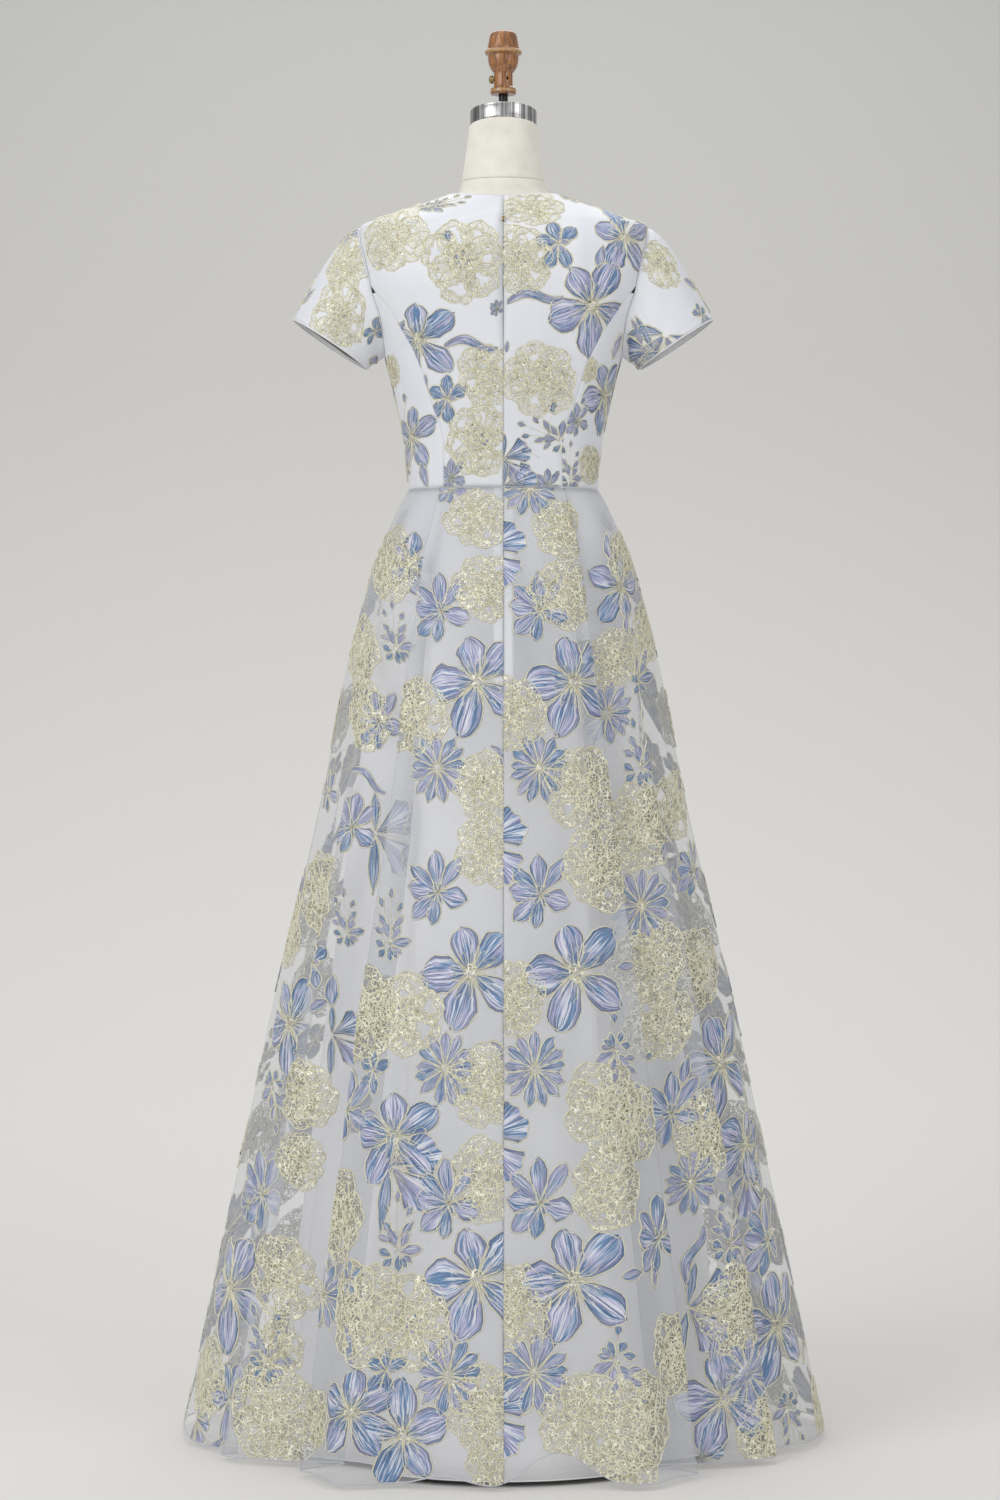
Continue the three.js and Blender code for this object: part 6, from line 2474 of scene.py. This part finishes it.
    def edges(self, node: str) -> list[Object]:
        """The rolled hem and the stitches of one cloth piece.

        Args:
            node: The piece's node.

        Returns:
            Its sewing.
        """
        if node.startswith("bodice"):
            return []
        sleeve, skirt = node.startswith("sleeve"), node.startswith("skirt")
        if sleeve:
            grid, mirror = Sleeve().grid(), np.array([side_of(node), 1, 1])
            out = Sleeve.normals(grid)
            slot, cloth = "bodice_cloth", self.finishes.lining
            hem, row = (grid[-1] - 0.35 * out[-1]) * mirror, (grid[-4] + 0.05 * out[-4]) * mirror
            lines = [(hem, 0.75, 0.0), (row, 0.28, 3.4)]
        else:
            surface, wall = (SKIRT, 0.4) if skirt else (LINING, 0.5)
            degrees = QUARTERS[node.split("_", 1)[1]][0] + np.linspace(0.15, 89.85, 170)
            z = hem_height(degrees) if skirt else HEM + 0 * degrees
            slot, cloth = ("organza", self.finishes.hem) if skirt else ("lining", self.finishes.lining)
            hem, row = surface.off(degrees, z + 0.9, -wall / 2), surface.off(degrees, z + 13.0, 0.05)
            lines = [(hem, 0.85, 0.0), (row, 0.26, 3.0)]
        made = []
        for line, radius, length in lines:
            kind, material = ("stitches", self.finishes.thread) if length else ("rolled_hem", cloth)
            piece = self.run(f"{node}_{kind}", line, sleeve, material, radius, length, 1.5 * length)
            made.append(keep(piece, BODY, None, slot))
        return made


# The angles of the side edges of each quarter of a skirt
QUARTERS = {
    "back_right": (0, 90), "back_left": (-90, 0), "front_right": (90, 180), "front_left": (-180, -90),
}


@dataclass
class Dress:
    """The bodice, the sleeves and the two skirts."""

    finishes: Finishes
    brocade: Brocade = field(default_factory=Brocade)
    bodice_wall: float = 1.0
    organza_wall: float = 0.4
    lining_wall: float = 0.5

    def panels(self) -> dict[str, Panel]:
        """The five panels of the bodice, and four each of the organza skirt and its lining.

        Returns:
            The panels by their node names.
        """
        wall = self.bodice_wall
        back, side_back = trimmed(back_places(), BODICE), trimmed(side_back_places(), BODICE)
        made = {
            "bodice_back_right": Panel(BODICE, back, wall),
            "bodice_side_back_right": Panel(BODICE, side_back, wall),
            "bodice_front": Panel(BODICE, trimmed(front_places(), BODICE), wall),
            "bodice_back_left": Panel(BODICE, mirror_places(back), wall),
            "bodice_side_back_left": Panel(BODICE, mirror_places(side_back), wall),
        }
        for part, ends in QUARTERS.items():
            outer = trimmed(skirt_places(SKIRT, *ends, 56, hem_height), SKIRT)
            inner = trimmed(skirt_places(LINING, *ends, 36, lambda a: HEM + 0 * a), LINING)
            made[f"skirt_{part}"] = Panel(SKIRT, outer, self.organza_wall)
            made[f"lining_{part}"] = Panel(LINING, inner, self.lining_wall)
        return made

    def build(self) -> None:
        """Build every panel and sleeve with its motifs and its sewing."""
        finishes, sewing = self.finishes, PathWork(self.finishes)
        looks = {
            "skirt": (finishes.organza, "organza", "organza"),
            "lining": (finishes.lining, "lining", "taffeta"),
        }
        for node, panel in {**self.panels(), "sleeve_right": Sleeve(), "sleeve_left": Sleeve()}.items():
            garment, part = node.split("_", 1)
            material, slot, cloth = looks.get(garment, (finishes.backed_organza, "bodice_cloth", "cloth"))
            piece = keep(panel.build(f"{node}_{cloth}", material), BODY, node, slot)
            dressing = [*self.brocade.build(node, finishes), *sewing.edges(node), *sewing.seams(node)]


@dataclass
class Zip:
    """The invisible zip: its woven tape, its coil behind the seam and its slider at the top."""

    half_width: float = 12.0
    tape: float = 1.0
    clearance: float = 0.9
    bottom: float = 890.0
    top_level: float = 1475.0
    slider_level: float = 1462.0

    def rows(self) -> list[tuple[Surface, float, float, float]]:
        """Where the zip's rows lie: the face, the height, the wall before it and the coil's depth.

        Returns:
            One row for each place along the zip.
        """
        skirt = [(SKIRT, z, 1.2, 0.85) for z in even(self.bottom + 2, 1138, 6)]
        heights = bodice_height(bodice_levels(self.top_level), NECK_BACK.at(0.0))
        return skirt + [(BODICE, float(z), 2.0, 0.95) for z in heights]

    def build(self, finishes: Finishes) -> None:
        """Build the tape, the coil and the slider.

        Args:
            finishes: The finishes by their kind.
        """
        shares = np.linspace(-1, 1, 9)
        grids = []
        for extra in (0.0, self.tape):
            grid = []
            for surface, z, wall, _ in self.rows():
                degrees = shares * float(surface.angle_of_x(np.array(self.half_width), np.array(z)))
                grid.append(surface.off(degrees, z, -(wall + self.clearance + extra)))
            grids.append(np.array(grid))
        bag = Bag()
        map_of = np.stack(np.meshgrid(shares * self.half_width, np.arange(len(grids[0])) * 6.0), axis=-1)
        shell(bag, grids[0], grids[1], map_of * MM)
        keep(bag.piece("zip_woven_tape", [finishes.lining]), BODY, "zip_tape", "lining")
        line = np.array([surface.points(0.0, z) + (0, depth, 0) for surface, z, _, depth in self.rows()])
        # The coil's grey also paints the shadow line along the zipped seam
        coil = PathWork(finishes).run("zip_nylon_coil", line, False, finishes.nylon, 0.62, 1.5, 1.3)
        keep(coil, BODY, None, "lining")
        self.slider(finishes)

    def slider(self, finishes: Finishes) -> None:
        """Build the slider: a small rounded body with a drop-shaped pull.

        Args:
            finishes: The finishes by their kind.
        """
        front = float(BODICE.points(0.0, self.slider_level - 3.5)[1]) - SEAM_GAP
        turn = np.linspace(0, 2 * np.pi, 20, endpoint=False)
        bag = Bag()
        for z, half, low, high, near, far in (
            (2.2, 1.75, -1.3, 1.25, 0.2, 1.6), (0.0, 0.8, -1.2, 1.5, 1.0, 1.9),
            (-1.4, 1.5, -2.0, 1.2, 0.9, 1.9),
        ):
            across, up = signed_power(np.sin(turn), 0.7) * half, signed_power(np.cos(turn), 0.7)
            up = np.where(up > 0, up * high, -up * low)
            rings = []
            for depth, share in ((near, 0.85), (near + 0.15, 1.0), (far - 0.25, 1.0), (far, 0.8)):
                place = [across * share, front - depth + 0 * turn, self.slider_level + z + up * share]
                rings.append(np.stack(place, axis=-1))
            capped(np.array(rings)[:, ::-1], bag)
        keep(bag.piece("zip_pull_slider", [finishes.brass]), BODY, "zip_slider", "steel")


# Studio


@dataclass
class Studio:
    """The floor that sweeps up behind, the soft lights and the camera."""

    eye: tuple[float, float, float] = (-0.004, -4.5, 0.826)
    lens: float = 88.56
    sensor: float = 36.0

    def build(self) -> None:
        """Build the stage, the lights, the world and the camera."""
        self.sweep()
        self.light("key", (-3.2, -3.4, 3.0), (0, 0, 0.9), 2.6, 82.0)
        self.light("fill", (3.4, -3.6, 2.0), (0, 0, 0.8), 2.6, 34.0)
        self.light("back", (0.0, 1.7, 3.5), (0, 0, 0.7), 2.4, 30.0)
        self.light("top", (0.0, -0.6, 4.2), (0, 0.2, 0), 3.0, 30.0)
        world = bpy.data.worlds.new("studio")
        world.use_nodes = True
        background = world.node_tree.nodes["Background"]
        background.inputs[0].default_value = linear("f0f1f3")
        background.inputs[1].default_value = 0.5
        bpy.context.scene.world = world
        camera = bpy.data.cameras.new("camera")
        camera.sensor_width = self.sensor
        camera.lens = self.lens
        camera.clip_end = 60
        made = link("camera", camera)
        made.location = self.eye
        made.rotation_euler = (math.pi / 2, 0, 0)
        bpy.context.scene.camera = made
        bpy.context.scene.view_settings.view_transform = "Standard"

    def sweep(self) -> None:
        """Make the floor and the wall as one curved sheet of paper."""
        profile = [(-7.0, 0.0), (1.4, 0.0)]
        bend = np.radians(np.arange(6, 91, 6))
        profile += [(1.4 + 1.6 * math.sin(a), 1.6 - 1.6 * math.cos(a)) for a in bend]
        profile += [(3.0, 6.0)]
        points = np.array([[x, y, z] for y, z in profile for x in (-7.0, 7.0)])
        number = np.arange(len(profile) - 1) * 2
        faces = np.stack([number, number + 1, number + 3, number + 2], axis=-1)
        bag = Bag()
        bag.add(points / MM, faces)
        # The paper's colour carries a painted shade, greyer toward the top
        bag.piece("paper_sweep", [Paper("matt_grey_paper", "e7e5e2", 0.95).make()])

    def light(
        self, name: str, place: Sequence[float], aim: Sequence[float], size: float, power: float
    ) -> None:
        """Add a soft square light.

        Args:
            name: Its name.
            place: Where it stands, in metres.
            aim: The point that it faces.
            size: Its side.
            power: Its watts.
        """
        lamp = bpy.data.lights.new(name, "AREA")
        lamp.size, lamp.energy = size, power
        made = link(name, lamp)
        made.location = place
        made.rotation_euler = (Vector(aim) - Vector(place)).to_track_quat("-Z", "Y").to_euler()


def main() -> None:
    """Build the object piece by piece."""
    logging.basicConfig(level=logging.INFO, format="%(message)s")
    Studio().build()
    finishes = Finishes()
    DressForm(finishes).build()
    Dress(finishes).build()
    Stand().build(finishes)
    Zip().build(finishes)


if __name__ == "__main__":
    main()
